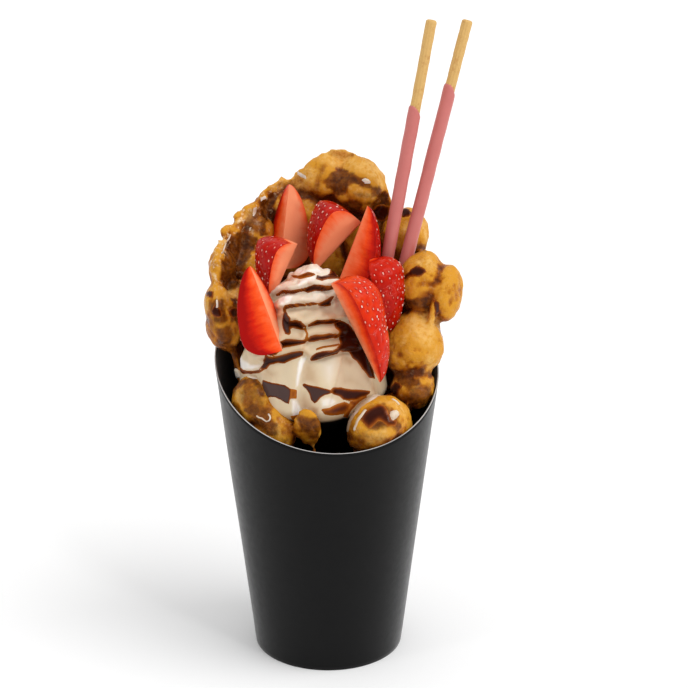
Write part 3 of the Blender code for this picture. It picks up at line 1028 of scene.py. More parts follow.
@dataclass
class WaffleSheet:
    """The baked sheet: a thin wavy web wrapped into a cone, with hollow-looking egg-shaped bubbles."""

    thickness: float = 2.4
    profile: tuple[tuple[float, float], ...] = (
        (24, 4), (32, 13), (44, 20), (62, 26), (90, 31.5), (116, 35.5),
        (132, 38.5), (150, 43.5), (166, 46.5), (188, 49), (214, 51),
    )
    top: tuple[tuple[float, float], ...] = (
        (0, 96), (14, 98), (24, 112), (39, 122), (60, 114), (76, 128), (88, 168), (104, 171), (118, 171),
        (127, 177), (135, 188), (146, 192), (153, 203), (166, 211), (178, 213), (191, 207), (199, 202),
        (215, 196), (226, 190), (236, 186), (250, 183), (262, 177), (268, 160), (275, 138), (284, 126),
        (294, 124), (306, 125), (318, 120), (332, 104), (344, 98), (350, 110), (356, 98),
    )
    bubbles: tuple[Bubble, ...] = (
        Bubble(164, 197, 0, 12.0, 12.5, 10.5), Bubble(182, 200, 0, 10.0, 10.5, 8.5),
        Bubble(190, 184, 0, 10.5, 10.5, 9.0), Bubble(136, 178.5, 0, 11.5, 12.5, 10.0),
        Bubble(104, 165, -4.5, 12.0, 13.5, 10.0), Bubble(98, 163, 4.5, 11.0, 12.5, 8.0),
        Bubble(94, 139, -3, 14.0, 15.5, 13.3), Bubble(86, 123, 0, 12.0, 9.5, 9.5),
        Bubble(40, 114.5, -1, 15.0, 12.5, 12.0), Bubble(-58, 121, -1, 12.0, 12.5, 10.0),
        Bubble(-43, 112, -1, 11.0, 11.5, 9.5), Bubble(-93, 153, 1.5, 11.5, 15.0, 7.5),
        Bubble(-104, 154, -6, 9.5, 12.0, 7.0), Bubble(-138, 179, -1, 9.5, 9.5, 7.0),
        Bubble(-130, 165, -1, 11.0, 11.0, 9.0), Bubble(-108, 171, 1, 9.5, 9.5, 5.5),
        Bubble(157, 172, 1, 12.0, 12.0, 9.5), Bubble(183, 163, 1, 12.0, 11.5, 9.5),
        Bubble(-155, 169, 1, 12.0, 12.0, 9.5), Bubble(-158, 188.5, 2, 8.8, 8.8, 6.2),
        Bubble(128, 158, 2, 11.0, 10.5, 8.0), Bubble(-13.5, 117, -0.6, 6.2, 9.5, 2.2),
    )
    web_turns: int = 420
    web_rows: int = 130
    voxel: float = 0.985
    spill_start: float = 2.5
    spill_spread: float = 0.9
    ruffle: float = 1.7
    ruffle_heights: tuple[float, float] = (118.0, 175.0)
    least_ruffle: float = 0.35
    edge_width: float = 16.0
    crumple: float = 0.34
    swell: float = 0.5
    crumpled_from: tuple[float, float] = (70.0, 100.0)
    lace_bits: int = 70
    lace_turns: tuple[float, float] = (196.0, 266.0)
    lace_size: tuple[float, float] = (0.9, 2.3)
    usual_bake: float = 0.49
    crown_light: float = 0.22
    # Painted shade: on the side away from the light, underneath, at the tip and in tight hollows.
    far_side_shade: float = 0.3
    light_from: tuple[float, float, float] = (0.55, -0.35, 0.76)
    underside_shade: float = 0.1
    tip_shade: float = 0.35
    hollow_shade: float = 0.26

    def radius_at(self, height: Array) -> Array:
        """The web's radius at each height."""
        heights, radii = zip(*self.profile)
        return np.interp(height, heights, radii)

    def inside_cup(self, points: Array, clearance: float) -> Array:
        """Pulls points in to the paper where the cup is round them, and lets them spread above the rim.

        Args:
            points: places about the axis.
            clearance: how far they stay off the paper.

        Returns:
            The moved points.
        """
        rim = rim_height(points[..., 0], points[..., 1])
        above = np.maximum(0.0, points[..., 2] - rim - self.spill_start)
        limit = wall_radius(points[..., 2]) - PAPER - clearance + self.spill_spread * above
        reach = np.hypot(points[..., 0], points[..., 1])
        share = np.minimum(1.0, limit / np.maximum(reach, 0.001))[..., None]
        return points * np.concatenate([share, share, np.ones_like(share)], -1)

    def edge_at(self, turns: Array) -> Array:
        """The height of the sheet's top edge at each turn."""
        places, heights = zip(*self.top)
        return np.interp(turns, places, heights, period=360)

    def web(self) -> Surface:
        """The thin sheet: radius from the profile plus ruffles that grow towards its ragged top edge.

        Returns:
            The sheet as a closed surface, up its inner side, over its edge and down its outer side.
        """
        turns = np.arange(self.web_turns) * 360.0 / self.web_turns
        share = np.linspace(0.0, 1.0, self.web_rows) ** 0.9
        ring = outward(turns) * 45.0
        edge = self.edge_at(turns) + 1.6 * noise(ring, 7.0, 11) + 1.0 * noise(ring, 3.0, 12) - 0.6
        foot = self.profile[0][0]
        height = foot + (edge[:, None] - foot) * share[None, :]
        out = outward(turns)[:, None, :]
        middle = out * self.radius_at(height)[..., None] + height[..., None] * UP
        loose = self.ruffle * smoothstep(*self.ruffle_heights, height) + self.least_ruffle
        near_edge = smoothstep(self.edge_width, 0.0, edge[:, None] - height)
        wave = noise(middle, 17.0, 21) + 0.5 * noise(middle, 8.0, 22) * (1.0 + 1.2 * near_edge)
        middle += out * (loose * wave)[..., None]
        middle = self.inside_cup(middle, self.thickness)
        half = self.thickness / 2 * (1.0 - 0.3 * near_edge) * (1.0 + 0.25 * noise(middle, 5.0, 23))
        lean = np.gradient(self.radius_at(height), axis=1) / np.maximum(np.gradient(height, axis=1), 0.1)
        normal = out - lean[..., None] * UP
        normal /= np.linalg.norm(normal, axis=-1, keepdims=True)
        outer = middle + normal * half[..., None]
        inner = middle - normal * half[..., None]
        crest = middle[:, -1:] + 0.5 * UP
        sheet = np.concatenate([inner, crest, outer[:, ::-1]], axis=1)
        return lofted(np.swapaxes(sheet, 0, 1))

    def axes_of(self, bubble: Bubble) -> tuple[Array, Array]:
        """Where a bubble sits and how it is turned.

        Args:
            bubble: the bubble.

        Returns:
            Its middle, and its directions across the web, up its slope and out of it, as rows.
        """
        slope = (self.radius_at(bubble.height + 5.0) - self.radius_at(bubble.height - 5.0)) / 10.0
        radial = outward(np.array(float(bubble.turn)))
        upward = radial * slope + UP
        upward /= np.linalg.norm(upward)
        across = np.cross(UP, radial)
        normal = np.cross(across, upward)
        middle = radial * self.radius_at(bubble.height) + UP * bubble.height
        return middle + normal * bubble.out, np.stack([across, upward, normal])

    def egg(self, bubble: Bubble, number: int) -> Surface:
        """One bubble: an egg whose radius swells and dimples by soft noise, with a few soft folds.

        Args:
            bubble: its place and sizes.
            number: its number, which picks its noise.

        Returns:
            The egg as a closed surface.
        """
        middle, axes = self.axes_of(bubble)
        ball = unit_ball(56, 36)
        seeded = ball + 7.3 * number
        lumps = 1.0 + 0.075 * noise(seeded, 0.8, 31) + 0.03 * noise(seeded, 0.35, 32)
        folds = np.abs(noise(seeded * np.array([1.0, 0.45, 1.0]), 0.55, 33))
        lumps -= 0.07 * np.exp(-((folds / 0.12) ** 2))
        narrowing = 1.0 - 0.08 * ball[..., 1:2]
        local = ball * bubble.size() * np.concatenate([narrowing, np.ones_like(narrowing), narrowing], -1)
        return lofted(self.inside_cup(middle + (local * lumps[..., None]) @ axes, 0.5))

    def lace(self) -> Surface:
        """Small crisp crumbs that fringe the sheet's top edge, seeded so that they are always the same."""
        rng = np.random.default_rng(4)
        turns = rng.uniform(*self.lace_turns, self.lace_bits)
        height = self.edge_at(turns) - rng.uniform(-0.8, 3.5, self.lace_bits)
        middle = outward(turns) * self.radius_at(height)[:, None] + height[:, None] * UP
        middle += outward(turns) * rng.uniform(-1.4, 1.4, self.lace_bits)[:, None]
        size = rng.uniform(*self.lace_size, (self.lace_bits, 1, 1, 1))
        crumbs = middle[:, None, None, :] + unit_ball(10, 8)[None] * size
        fringe = lofted(crumbs[0])
        for crumb in crumbs[1:]:
            fringe = fringe.joined(lofted(crumb))
        return fringe

    def raw(self) -> Surface:
        """The web, the bubbles and the fringe together, not yet one skin."""
        sheet = self.web()
        for number, bubble in enumerate(self.bubbles, 1):
            sheet = sheet.joined(self.egg(bubble, number))
        return sheet.joined(self.lace())

    def crown(self, points: Array) -> Array:
        """How close each point is to the nearest bubble's skin from inside or out: 1 on a bubble, 0 away."""
        best = np.full(len(points), -1.0)
        for bubble in self.bubbles:
            middle, axes = self.axes_of(bubble)
            reach = np.linalg.norm((points - middle) @ axes.T / bubble.size(), axis=1)
            best = np.maximum(best, 1.0 - np.abs(reach - 1.0) / 0.35)
        return np.clip(best, 0.0, 1.0)

    def skin(self) -> bpy.types.Object:
        """Fuses everything into one even skin, softens it, and crumples it along its normals.

        Returns:
            The piece, without a material yet.
        """
        piece = self.raw().place("waffle_sheet")
        remesh = piece.modifiers.new("one skin", "REMESH")
        remesh.mode = "VOXEL"
        remesh.voxel_size = self.voxel * MM
        graph = bpy.context.evaluated_depsgraph_get()
        mesh = bpy.data.meshes.new_from_object(piece.evaluated_get(graph))
        piece.modifiers.clear()
        piece.data = mesh
        points, _, edges = mesh_arrays(mesh)
        points = relaxed(points, edges, 3)
        self.store(mesh, points)
        _, normals, _ = mesh_arrays(mesh)
        free = smoothstep(*self.crumpled_from, points[:, 2])
        ridges = 1.0 - np.abs(noise(points, 6.5, 41)) * 2.0
        fine = self.crumple * (fractal(points, 3.4, 42, 2) + ridges * np.abs(noise(points, 13.0, 43)))
        soft = self.swell * noise(points, 9.0, 44)
        self.store(mesh, points + normals * ((fine + soft) * free)[:, None])
        mesh.shade_smooth()
        return piece

    def store(self, mesh: bpy.types.Mesh, points: Array) -> None:
        """Writes points, in millimetres about the axis, back to the mesh."""
        mesh.vertices.foreach_set("co", ((points + AXIS) * MM).ravel())
        mesh.update()

    def build(self) -> bpy.types.Object:
        """The finished sheet, with the values that its colours go by.

        Its browning is lighter on the bubbles; painted shade darkens it in dips, on the side away from the
        light, underneath, at the tip and in tight hollows.

        Returns:
            The piece.
        """
        piece = self.skin()
        points, normals, edges = mesh_arrays(piece.data)
        small = ((relaxed(points, edges, 6) - points) * normals).sum(1)
        large = ((relaxed(points, edges, 60) - points) * normals).sum(1)
        turn = np.degrees(np.arctan2(points[:, 0], -points[:, 1])) % 360.0
        near_edge = smoothstep(9.0, 0.0, self.edge_at(turn) - points[:, 2])
        # Browning, lighter on the bubbles, with painted shade: darker in dips, on the side away from the
        # light, underneath, low towards the tip and in tight hollows.
        bake = self.usual_bake - self.crown_light * self.crown(points)
        bake += 1.3 * np.clip(small, -0.15, 0.25) + 0.55 * np.clip(large, -0.3, 0.8)
        bake += self.far_side_shade * smoothstep(0.45, -0.55, normals @ np.array(self.light_from))
        bake += self.underside_shade * smoothstep(0.2, -0.6, normals[:, 2])
        bake += self.tip_shade * smoothstep(116.0, 102.0, points[:, 2])
        bake += self.hollow_shade * np.clip(crowding(points, normals, 4.0), 0.0, 1.4)
        # The lacy left edge, whose pale freckles are partly a painted sheen.
        left = smoothstep(190.0, 215.0, turn) * smoothstep(285.0, 262.0, turn)
        give_values(piece.data, {
            # Browning with its painted shade and highlights; the lace value marks the lacy left edge.
            "bake": bake, "lace": left * smoothstep(150.0, 175.0, points[:, 2]) * (0.4 + 0.6 * near_edge),
            # Painted shade: near black low in the cone.
            "painted_deep_shade": smoothstep(104.0, 96.0, points[:, 2]),
        })
        piece.data.materials.append(GoldenWaffle().material)
        return finished(piece, "golden_waffle", "waffle")


@dataclass(frozen=True)
class Patch:
    """An area of sauce or tint: its outline in the photograph's pixels, and what lies there.

    It is thickness high, reaches its full depth soft pixels in from the edge, and looks grey by a share: a
    painted sheen.
    """

    outline: Pixels
    thickness: float = 0.4
    soft: float = 3.0
    depth: float = 1.0
    grey: float = 0.0

    def corners(self) -> Array:
        """The outline's corners as rows."""
        return np.array(self.outline, float).reshape(-1, 2)

    def inner(self, spots: Array) -> Array:
        """How far, in pixels, each place lies inside the outline; below 0 outside it.

        It is the distance to the nearest side, and a place is inside where a level line from it crosses
        the outline an odd number of times.

        Args:
            spots: places in the photograph.

        Returns:
            The distance for each.
        """
        corners = self.corners()
        gap = np.full(len(spots), np.inf)
        odd = np.zeros(len(spots), bool)
        for start, end in zip(corners, np.roll(corners, -1, 0)):
            side = end - start
            offset = spots - start
            along = np.clip(offset @ side / max(side @ side, 1e-9), 0.0, 1.0)
            gap = np.minimum(gap, np.hypot(*(offset - along[:, None] * side).T))
            crosses = (start[1] > spots[:, 1]) != (end[1] > spots[:, 1])
            odd ^= crosses & (offset[:, 0] < offset[:, 1] * side[0] / (side[1] or 1e-9))
        return np.where(odd, gap, -gap)


def tints(*rows: tuple[float, float, Pixels]) -> tuple[Patch, ...]:
    """Flat patches from rows of soft edge, depth and outline."""
    return tuple(Patch(outline, 0.0, soft, depth) for soft, depth, outline in rows)


def in_view(points: Array, normals: Array, reach: float = 6.0) -> Array:
    """Which points the camera sees: they face it, and nothing in their three-pixel cell is much nearer.

    Args:
        points: points on a surface.
        normals: the surface's normals there.
        reach: how much nearer another point has to be to hide them, in millimetres.

    Returns:
        The numbers of the points that it sees.
    """
    spots, depth = CAMERA.project(points)
    cell = np.floor(spots / 3.0).astype(int)
    cell -= cell.min(0)
    nearest = np.full(cell.max(0) + 1, np.inf)
    np.minimum.at(nearest, tuple(cell.T), depth)
    return np.flatnonzero((normals @ CAMERA.axes()[0] > -0.1) & (depth < nearest[tuple(cell.T)] + reach))


def poured(points: Array, normals: Array, patches: Sequence[Patch], ragged: float) -> Array:
    """Where patches lie on the part of a surface that the camera sees.

    Args:
        points: points on a surface.
        normals: the surface's normals there.
        patches: the areas.
        ragged: how many pixels their edges wander by soft noise.

    Returns:
        Three rows: the share of full depth, the rise in millimetres, and the grey share of painted sheen, at
            each point.
    """
    spots, _ = CAMERA.project(points)
    seen = in_view(points, normals)
    wander = ragged * (noise(points, 3.2, 61) + 0.6 * noise(points, 1.4, 62))
    found = np.stack([np.full(len(points), -1.0), np.full(len(points), -9.0), np.zeros(len(points))])
    for patch in patches:
        corners = patch.corners()
        near = ((spots[seen] > corners.min(0) - 4.0) & (spots[seen] < corners.max(0) + 4.0)).all(1)
        near = seen[near]
        if not len(near):
            LOG.warning("a patch at %s falls on nothing", patch.outline[:2])
            continue
        inner = patch.inner(spots[near]) + wander[near]
        share = np.clip(inner / patch.soft, -1.0, 1.0) * patch.depth
        found[2, near] = np.where(share > found[0, near], patch.grey, found[2, near])
        found[0, near] = np.maximum(found[0, near], share)
        rise = np.sin(np.clip(inner / 2.0, -1.0, 1.0) * np.pi / 2.0) * patch.thickness
        found[1, near] = np.maximum(found[1, near], rise)
    return found


@dataclass(frozen=True)
class Stroke:
    """A run of sauce or melted cream: the photograph's pixels that it passes, its half-width and its
    thickness.
    """

    path: Pixels
    width: float
    thickness: float

    def samples(self) -> Array:
        """Pixels along the run, about one apart."""
        corners = np.array(self.path, float).reshape(-1, 2)
        steps = np.hypot(*np.diff(corners, axis=0).T)
        reach = np.concatenate([[0.0], np.cumsum(steps)])
        spots = np.linspace(0.0, reach[-1], max(2, int(reach[-1])))
        return np.stack([np.interp(spots, reach, corners[:, k]) for k in range(2)], 1)


def seen_places(points: Array, normals: Array, pixels: Array, spread: float = 2.6) -> Array:
    """For each pixel, the point nearest the camera among those that face it and fall close to the pixel.

    Args:
        points: points on a surface, in millimetres about the axis.
        normals: the surface's normals there.
        pixels: places in the photograph.
        spread: how close to the pixel a point has to fall, in pixels.

    Returns:
        The number of the point for each pixel that has one.
    """
    spots, depth = CAMERA.project(points)
    facing = np.flatnonzero(normals @ CAMERA.axes()[0] > 0.0)
    found = []
    for pixel in pixels:
        near = facing[np.abs(spots[facing] - pixel).max(1) < spread]
        if len(near):
            found.append(near[np.argmin(depth[near])])
    return np.array(found, int)


def laid(points: Array, normals: Array, stroke: Stroke) -> tuple[Array, Array]:
    """A run's middle line on a surface, smoothed.

    Args:
        points: points on the surface.
        normals: its normals there.
        stroke: the run.

    Returns:
        The line's points, and the normals along it.
    """
    spots = seen_places(points, normals, stroke.samples())
    path, lift = points[spots], normals[spots]
    for _ in range(4 if len(path) > 4 else 0):
        for line in (path, lift):
            line[1:-1] = 0.25 * line[:-2] + 0.5 * line[1:-1] + 0.25 * line[2:]
    return path, lift


def run_of(points: Array, normals: Array, stroke: Stroke, seed: int, around: int = 14) -> Surface | None:
    """A rounded thread of sauce on a surface: an oval carried along its middle line.

    Its half-width is the stroke's, swelled and pinched by noise and drawn in as a half-round at both ends.

    Args:
        points: points on the surface.
        normals: its normals there.
        stroke: the run.
        seed: what picks its noise.
        around: how many points go round it.

    Returns:
        The thread, or None if too little of it falls on the surface.
    """
    path, lift = laid(points, normals, stroke)
    if len(path) < 5:
        LOG.warning("a thread of sauce at %s falls on nothing", stroke.path[:2])
        return None
    reach = np.concatenate([[0.0], np.cumsum(np.linalg.norm(np.diff(path, axis=0), axis=1) + 1e-6)])
    spots = np.linspace(0.0, reach[-1], max(8, int(reach[-1] / 0.3)))
    path = np.stack([np.interp(spots, reach, path[:, k]) for k in range(3)], 1)
    lift = np.stack([np.interp(spots, reach, lift[:, k]) for k in range(3)], 1)
    path[2:-2] = sum(path[k:len(path) - 4 + k] for k in range(5)) / 5.0
    ends = np.minimum(spots, reach[-1] - spots) / (stroke.width * 1.6)
    ends = np.sqrt(1.0 - (1.0 - np.clip(ends, 0.0, 1.0)) ** 2) + 0.02
    swell = 1.0 + 0.38 * noise(path, 4.5, seed) + 0.15 * noise(path, 1.8, seed + 1)
    height = stroke.thickness * (0.6 + 0.4 * swell) * ends
    rings = carried(path, stroke.width * swell * ends, height, lift, around)
    crest = np.clip(-np.sin(np.linspace(0.0, 2.0 * np.pi, around, endpoint=False)), 0.0, 1.0)
    return lofted(rings, {"depth": np.broadcast_to(crest, rings.shape[:2]) * (0.55 + 0.45 * ends)[:, None]})


def sauce_on(piece: bpy.types.Object, patches: Sequence[Patch], threads: Sequence[Stroke],
             ragged: float, seed: int) -> Surface:
    """Sauce on a piece: a skin over its own surface where the patches are, and narrow threads laid on it.

    Args:
        piece: the piece under the sauce.
        patches: the areas of the skin.
        threads: the runs.
        ragged: how many pixels the patches' edges wander.
        seed: what picks the threads' noise.

    Returns:
        All of it as one surface.
    """
    points, normals, _ = mesh_arrays(piece.data)
    share, rise, grey = poured(points, normals, patches, ragged)
    values = {"depth": np.clip(share, 0.0, 1.0), "grey": grey}
    sauce = coat(points, normals, quads_of(piece.data), rise, values)
    for number, stroke in enumerate(threads):
        thread = run_of(points, normals, stroke, seed + 2 * number)
        if thread:
            sauce = sauce.joined(thread)
    return sauce


def coat(points: Array, normals: Array, faces: Array, height: Array, values: dict[str, Array],
         sunk: float = 0.35) -> Surface:
    """A closed skin of sauce over part of a surface.

    Its top stands off the surface by the height, its edges dip below it, its back lies inside.

    Args:
        points: the surface's points.
        normals: its normals.
        faces: its faces, with the same number of corners each.
        height: the sauce's height at each point, below 0 where there is none.
        values: what each point's colours go by.
        sunk: how far the edges may dip below the surface.

    Returns:
        The skin, with the same values at its top and its back.
    """
    kept = faces[(height[faces] > 0.0).any(1)]
    used, index = np.unique(kept, return_inverse=True)
    kept = index.reshape(kept.shape)
    rise = np.maximum(height[used], -sunk)
    top = points[used] + normals[used] * rise[:, None]
    back = points[used] - normals[used] * (sunk + 0.35)
    count = len(used)
    ends = np.concatenate([kept[:, [k, (k + 1) % kept.shape[1]]] for k in range(kept.shape[1])])
    key = ends[:, 0] * count + ends[:, 1]
    rim = ends[~np.isin(key, ends[:, 1] * count + ends[:, 0])]
    walls = np.stack([rim[:, 0], rim[:, 0] + count, rim[:, 1] + count, rim[:, 1]], 1)
    shell = [tuple(face) for face in kept.tolist()]
    shell += [tuple(face) for face in (kept[:, ::-1] + count).tolist()]
    shell += [tuple(face) for face in walls.tolist()]
    doubled = {name: np.tile(value[used], 2) for name, value in values.items()}
    return Surface(np.concatenate([top, back]), shell, doubled)


@dataclass
class WaffleSauce:
    """Chocolate that ran over the waffle, ice cream that melted onto it and painted white glints, where the
    photo shows them, with painted shadow and highlights on the crust.
    """

    waffle: bpy.types.Object
    # How far chocolate tint and painted shadow darken the crust, and paleness and painted highlights lighten
    # it.
    stain_bake: float = 0.42
    pale_bake: float = -0.7
    # Pools of chocolate; the two with a grey share carry a painted sheen.
    pools: tuple[Patch, ...] = (
        Patch((371, 210, 377, 205, 385, 205, 391, 206, 390, 217, 384, 221, 377, 220, 373, 215), 0.45),
        Patch((402, 209, 407, 207, 411, 212, 409, 217, 402, 218), 0.5, 2),
        Patch((402, 280, 405, 275, 410, 269, 416, 266, 424, 268, 427, 272, 421, 276, 414, 276,
            407, 279), 0.4, 2.5),
        Patch((360, 419, 364, 413, 371, 407, 379, 403, 384, 405, 388, 409, 391, 419, 397, 421, 395, 425,
            388, 427, 383, 422, 379, 420, 372, 426, 370, 429, 365, 425), 0.25, 5),
        Patch((433, 299, 440, 302, 440, 311, 435, 317, 434, 308), 0.3, 2.5, 1, 0.7),
        Patch((206, 293, 209, 290, 213, 292, 213, 297, 209, 298), 0.4, 2.5, 1, 0.4),
        Patch((211, 311, 215, 306, 221, 309, 221, 316, 216, 318, 212, 316), 0.6, 2.5),
        Patch((228, 311, 232, 307, 238, 309, 239, 316, 233, 318, 229, 316), 0.6, 2.5),
        Patch((385, 390, 390, 388, 395, 381, 401, 385, 405, 386, 400, 390, 398, 396, 386, 396), 0.3, 2.5),
    )
    # Darker crust tinted with chocolate, and painted shadow: under bubbles, in creases and in the dark strip
    # by the sheet's edge.
    browned_and_shadowed: tuple[Patch, ...] = tints(
        (8, 0.36, (232, 392, 250, 375, 262, 384, 271, 400, 283, 430, 276, 441, 250, 421, 236, 402)),
        (6, 0.45, (404, 384, 434, 382, 434, 400, 420, 407, 406, 404)),
        (5, 0.7, (222, 344, 238, 344, 240, 372, 228, 374)),
        (6, 0.55, (238, 224, 252, 208, 263, 203, 261, 236, 242, 234)),
        (6, 0.25, (204, 300, 214, 296, 220, 320, 216, 344, 206, 340)),
        (6, 0.3, (352, 434, 362, 428, 390, 436, 402, 430, 398, 442, 370, 449, 352, 446)),
        (2.5, 1, (399, 375, 405, 376, 412, 380, 420, 381, 415, 384, 407, 385, 402, 385, 398, 381)),
        (3, 1, (256, 403, 262, 402, 267, 407, 270, 412, 269, 418, 262, 421, 258, 417, 259, 410)),
        (3.5, 1, (262, 423, 270, 422, 277, 422, 278, 430, 276, 436, 270, 436, 264, 431)),
        (2, 1, (296, 189, 301, 191, 309, 192, 317, 199, 313, 200, 307, 197, 298, 194)),
        (4.5, 1, (325, 181, 329, 174, 335, 170, 344, 169, 349, 172, 355, 174, 360, 176, 366, 177, 371, 181,
            378, 186, 385, 194, 389, 197, 380, 202, 375, 207, 372, 205, 377, 199, 372, 195, 365, 190,
            357, 184, 351, 186, 349, 190, 345, 199, 341, 199, 335, 194, 331, 190, 326, 190)),
        (5, 1, (341, 200, 350, 198, 355, 200, 362, 201, 370, 200, 373, 205, 365, 207, 360, 210, 360, 217,
            357, 221, 352, 213, 347, 207, 342, 205)),
        (8, 0.45, (352, 190, 362, 188, 374, 196, 372, 200, 360, 200, 350, 197)),
        (7, 0.4, (318, 164, 326, 160, 327, 171, 323, 181, 320, 192, 315, 198, 312, 190, 317, 177)),
        (5, 1, (370, 206, 378, 200, 392, 202, 392, 220, 384, 224, 374, 222)),
        (4, 1, (229, 237, 237, 232, 250, 233, 259, 237, 258, 244, 254, 250, 251, 258, 242, 271, 240, 289,
            225, 290, 220, 282, 221, 265, 223, 256, 228, 246)),
        (3, 1, (259, 200, 270, 199, 277, 194, 273, 205, 268, 217, 266, 236, 259, 237, 260, 215)),
        (6, 0.8, (214, 300, 220, 296, 226, 300, 228, 320, 222, 330, 211, 322, 207, 310)),
        (5, 0.8, (226, 304, 240, 302, 241, 322, 230, 324)),
        (8, 0.9, (214, 326, 232, 322, 236, 350, 214, 352)),
        (5, 0.75, (244, 379, 250, 371, 257, 376, 263, 386, 268, 400, 272, 412, 262, 402, 254, 388)),
        (3, 1, (229, 391, 232, 381, 244, 379, 252, 378, 252, 382, 244, 384, 238, 389, 233, 396)),
        (6, 0.9, (243, 410, 250, 400, 262, 401, 272, 412, 279, 424, 279, 438, 270, 437, 262, 430, 255, 422)),
        (7, 0.85, (296, 416, 324, 416, 324, 428, 318, 448, 300, 432)),
        (4, 0.9, (385, 366, 396, 369, 399, 377, 391, 388, 385, 388)),
        (7, 0.6, (384, 330, 390, 328, 393, 350, 392, 372, 384, 370)),
        (5, 0.9, (396, 372, 420, 378, 424, 386, 404, 390, 396, 384)),
        (4, 1, (411, 400, 420, 392, 430, 392, 434, 389, 432, 399, 424, 405, 412, 407)),
        (7, 0.8, (358, 420, 362, 410, 372, 403, 385, 401, 394, 408, 400, 420, 396, 428, 384, 430, 370, 432)),
        (5, 0.6, (394, 422, 404, 419, 403, 429, 395, 436)),
        (5, 0.7, (346, 430, 352, 434, 352, 446, 346, 450)),
        (6, 0.8, (402, 297, 434, 294, 434, 304, 424, 308, 404, 312)),
        (7, 0.7, (406, 240, 428, 243, 426, 252, 412, 256, 404, 250)),
        (7, 0.6, (376, 222, 386, 222, 386, 262, 378, 262)),
    )
    # Paler crust, and painted highlights where light catches the bubbles and the sheet's edges.
    paled_and_highlit: tuple[Patch, ...] = tints(
        (5, 0.7, (322, 150, 344, 150, 358, 158, 360, 168, 344, 168, 330, 166, 318, 160)),
        (5, 0.6, (286, 176, 298, 176, 312, 186, 314, 192, 300, 190, 288, 186)),
        (4, 1, (358, 160, 374, 160, 382, 168, 386, 188, 376, 184, 364, 174)),
        (4, 1, (330, 146, 348, 148, 358, 156, 350, 164, 336, 160)),
        (4, 0.8, (318, 152, 326, 148, 340, 151, 336, 157, 326, 162, 318, 160)),
        (5, 0.7, (297, 172, 308, 164, 318, 172, 314, 182, 300, 184)),
        (6, 0.6, (345, 158, 366, 160, 380, 168, 384, 182, 372, 178, 352, 170)),
        (4, 0.7, (354, 184, 364, 189, 377, 197, 372, 199, 362, 198, 353, 193)),
        (4, 0.7, (274, 184, 290, 173, 296, 176, 284, 186, 272, 192)),
        (4, 0.8, (402, 222, 409, 218, 408, 232, 402, 238)),
        (4, 0.6, (420, 222, 426, 222, 428, 244, 421, 240)),
        (5, 0.8, (410, 262, 430, 252, 438, 266, 430, 276, 427, 268)),
        (8, 0.8, (404, 318, 420, 312, 434, 310, 440, 322, 436, 346, 424, 350, 414, 340)),
        (2.5, 1, (412, 326, 411, 333, 405, 344, 402, 348, 400, 342, 407, 334)),
        (6, 0.7, (428, 350, 438, 346, 436, 370, 424, 376)),
        (4, 0.7, (378, 400, 392, 400, 402, 402, 410, 412, 406, 420, 398, 410, 388, 404)),
        (6, 0.5, (364, 432, 384, 426, 392, 430, 386, 440, 366, 444)),
        (4, 0.8, (233, 392, 240, 388, 246, 394, 240, 406, 236, 402)),
        (3, 1, (224, 291, 230, 288, 238, 291, 238, 298, 226, 298)),
        (3, 0.8, (204, 296, 208, 299, 208, 312, 205, 318)),
        (4, 0.8, (216, 240, 224, 238, 226, 250, 220, 254)),
        (4, 0.6, (243, 216, 256, 206, 258, 214, 248, 226)),
        (2.5, 0.7, (272, 430, 278, 424, 282, 436, 278, 441)),
    )
    # Painted highlights: the first seven patches and the small one on the pool are white glints laid on as
    # cream; the long streak and the last patch are melted cream.
    melt_and_glints: tuple[Patch, ...] = (
        Patch((254, 208, 257.5, 206, 256, 213, 253.5, 218, 252, 215), 0.15, 1.5),
        Patch((260, 199, 265, 196, 266, 198, 261, 201), 0.2, 1.5),
        Patch((251, 224, 253, 221, 252.5, 227, 249.5, 232, 249, 229), 0.15, 1.5),
        Patch((297, 171, 301, 173, 307, 177, 306, 179, 300, 176, 297, 173), 0.15, 1.5),
        Patch((361, 179, 366, 178, 371, 181, 371, 184, 365, 183), 0.2, 1.5),
        Patch((403, 213, 407, 213, 406, 217, 403, 216), 0.2, 1.5),
        Patch((377, 218, 383, 214, 384, 217, 380, 220), 0.2, 1.5),
        Patch((386, 386, 388, 390, 374, 399, 362, 407, 355, 415, 350, 424, 348, 432, 345, 431, 346, 419,
            352, 409, 363, 400, 376, 391), 0.3, 2),
        Patch((390, 411, 397, 410, 399, 414, 396, 419, 392, 421, 390, 416), 0.6, 1.5),
        Patch((229, 374, 234, 368, 240, 370, 244, 375, 238, 380, 230, 384, 227, 380), 0.6, 2),
    )
    runs: tuple[Stroke, ...] = (
        Stroke((352, 430, 356, 418, 364, 408), 0.6, 0.5),
        Stroke((228, 384, 236, 376, 246, 373, 256, 376, 266, 373), 0.8, 0.6),
        Stroke((268, 412, 269, 418, 266, 421, 258, 420, 254, 416), 0.35, 0.3),
        Stroke((223, 254, 227, 247, 233, 236), 0.4, 0.3),
        Stroke((394, 397, 398, 399, 401, 403), 0.7, 0.6),
        Stroke((218, 300, 218, 308), 0.5, 0.4),
        Stroke((221, 370, 226, 376, 228, 386), 0.9, 0.5),
    )

    def build(self) -> None:
        """Makes the chocolate, the melted cream and the painted white glints on the waffle's own skin, and
        tints the skin round them with chocolate, painted shadow and painted highlights.
        """
        sauce = sauce_on(self.waffle, self.pools, (), 1.0, 200)
        finished(sauce.place("waffle_chocolate", Chocolate().material), None)
        melt_and_glints = sauce_on(self.waffle, self.melt_and_glints, self.runs, 0.6, 300)
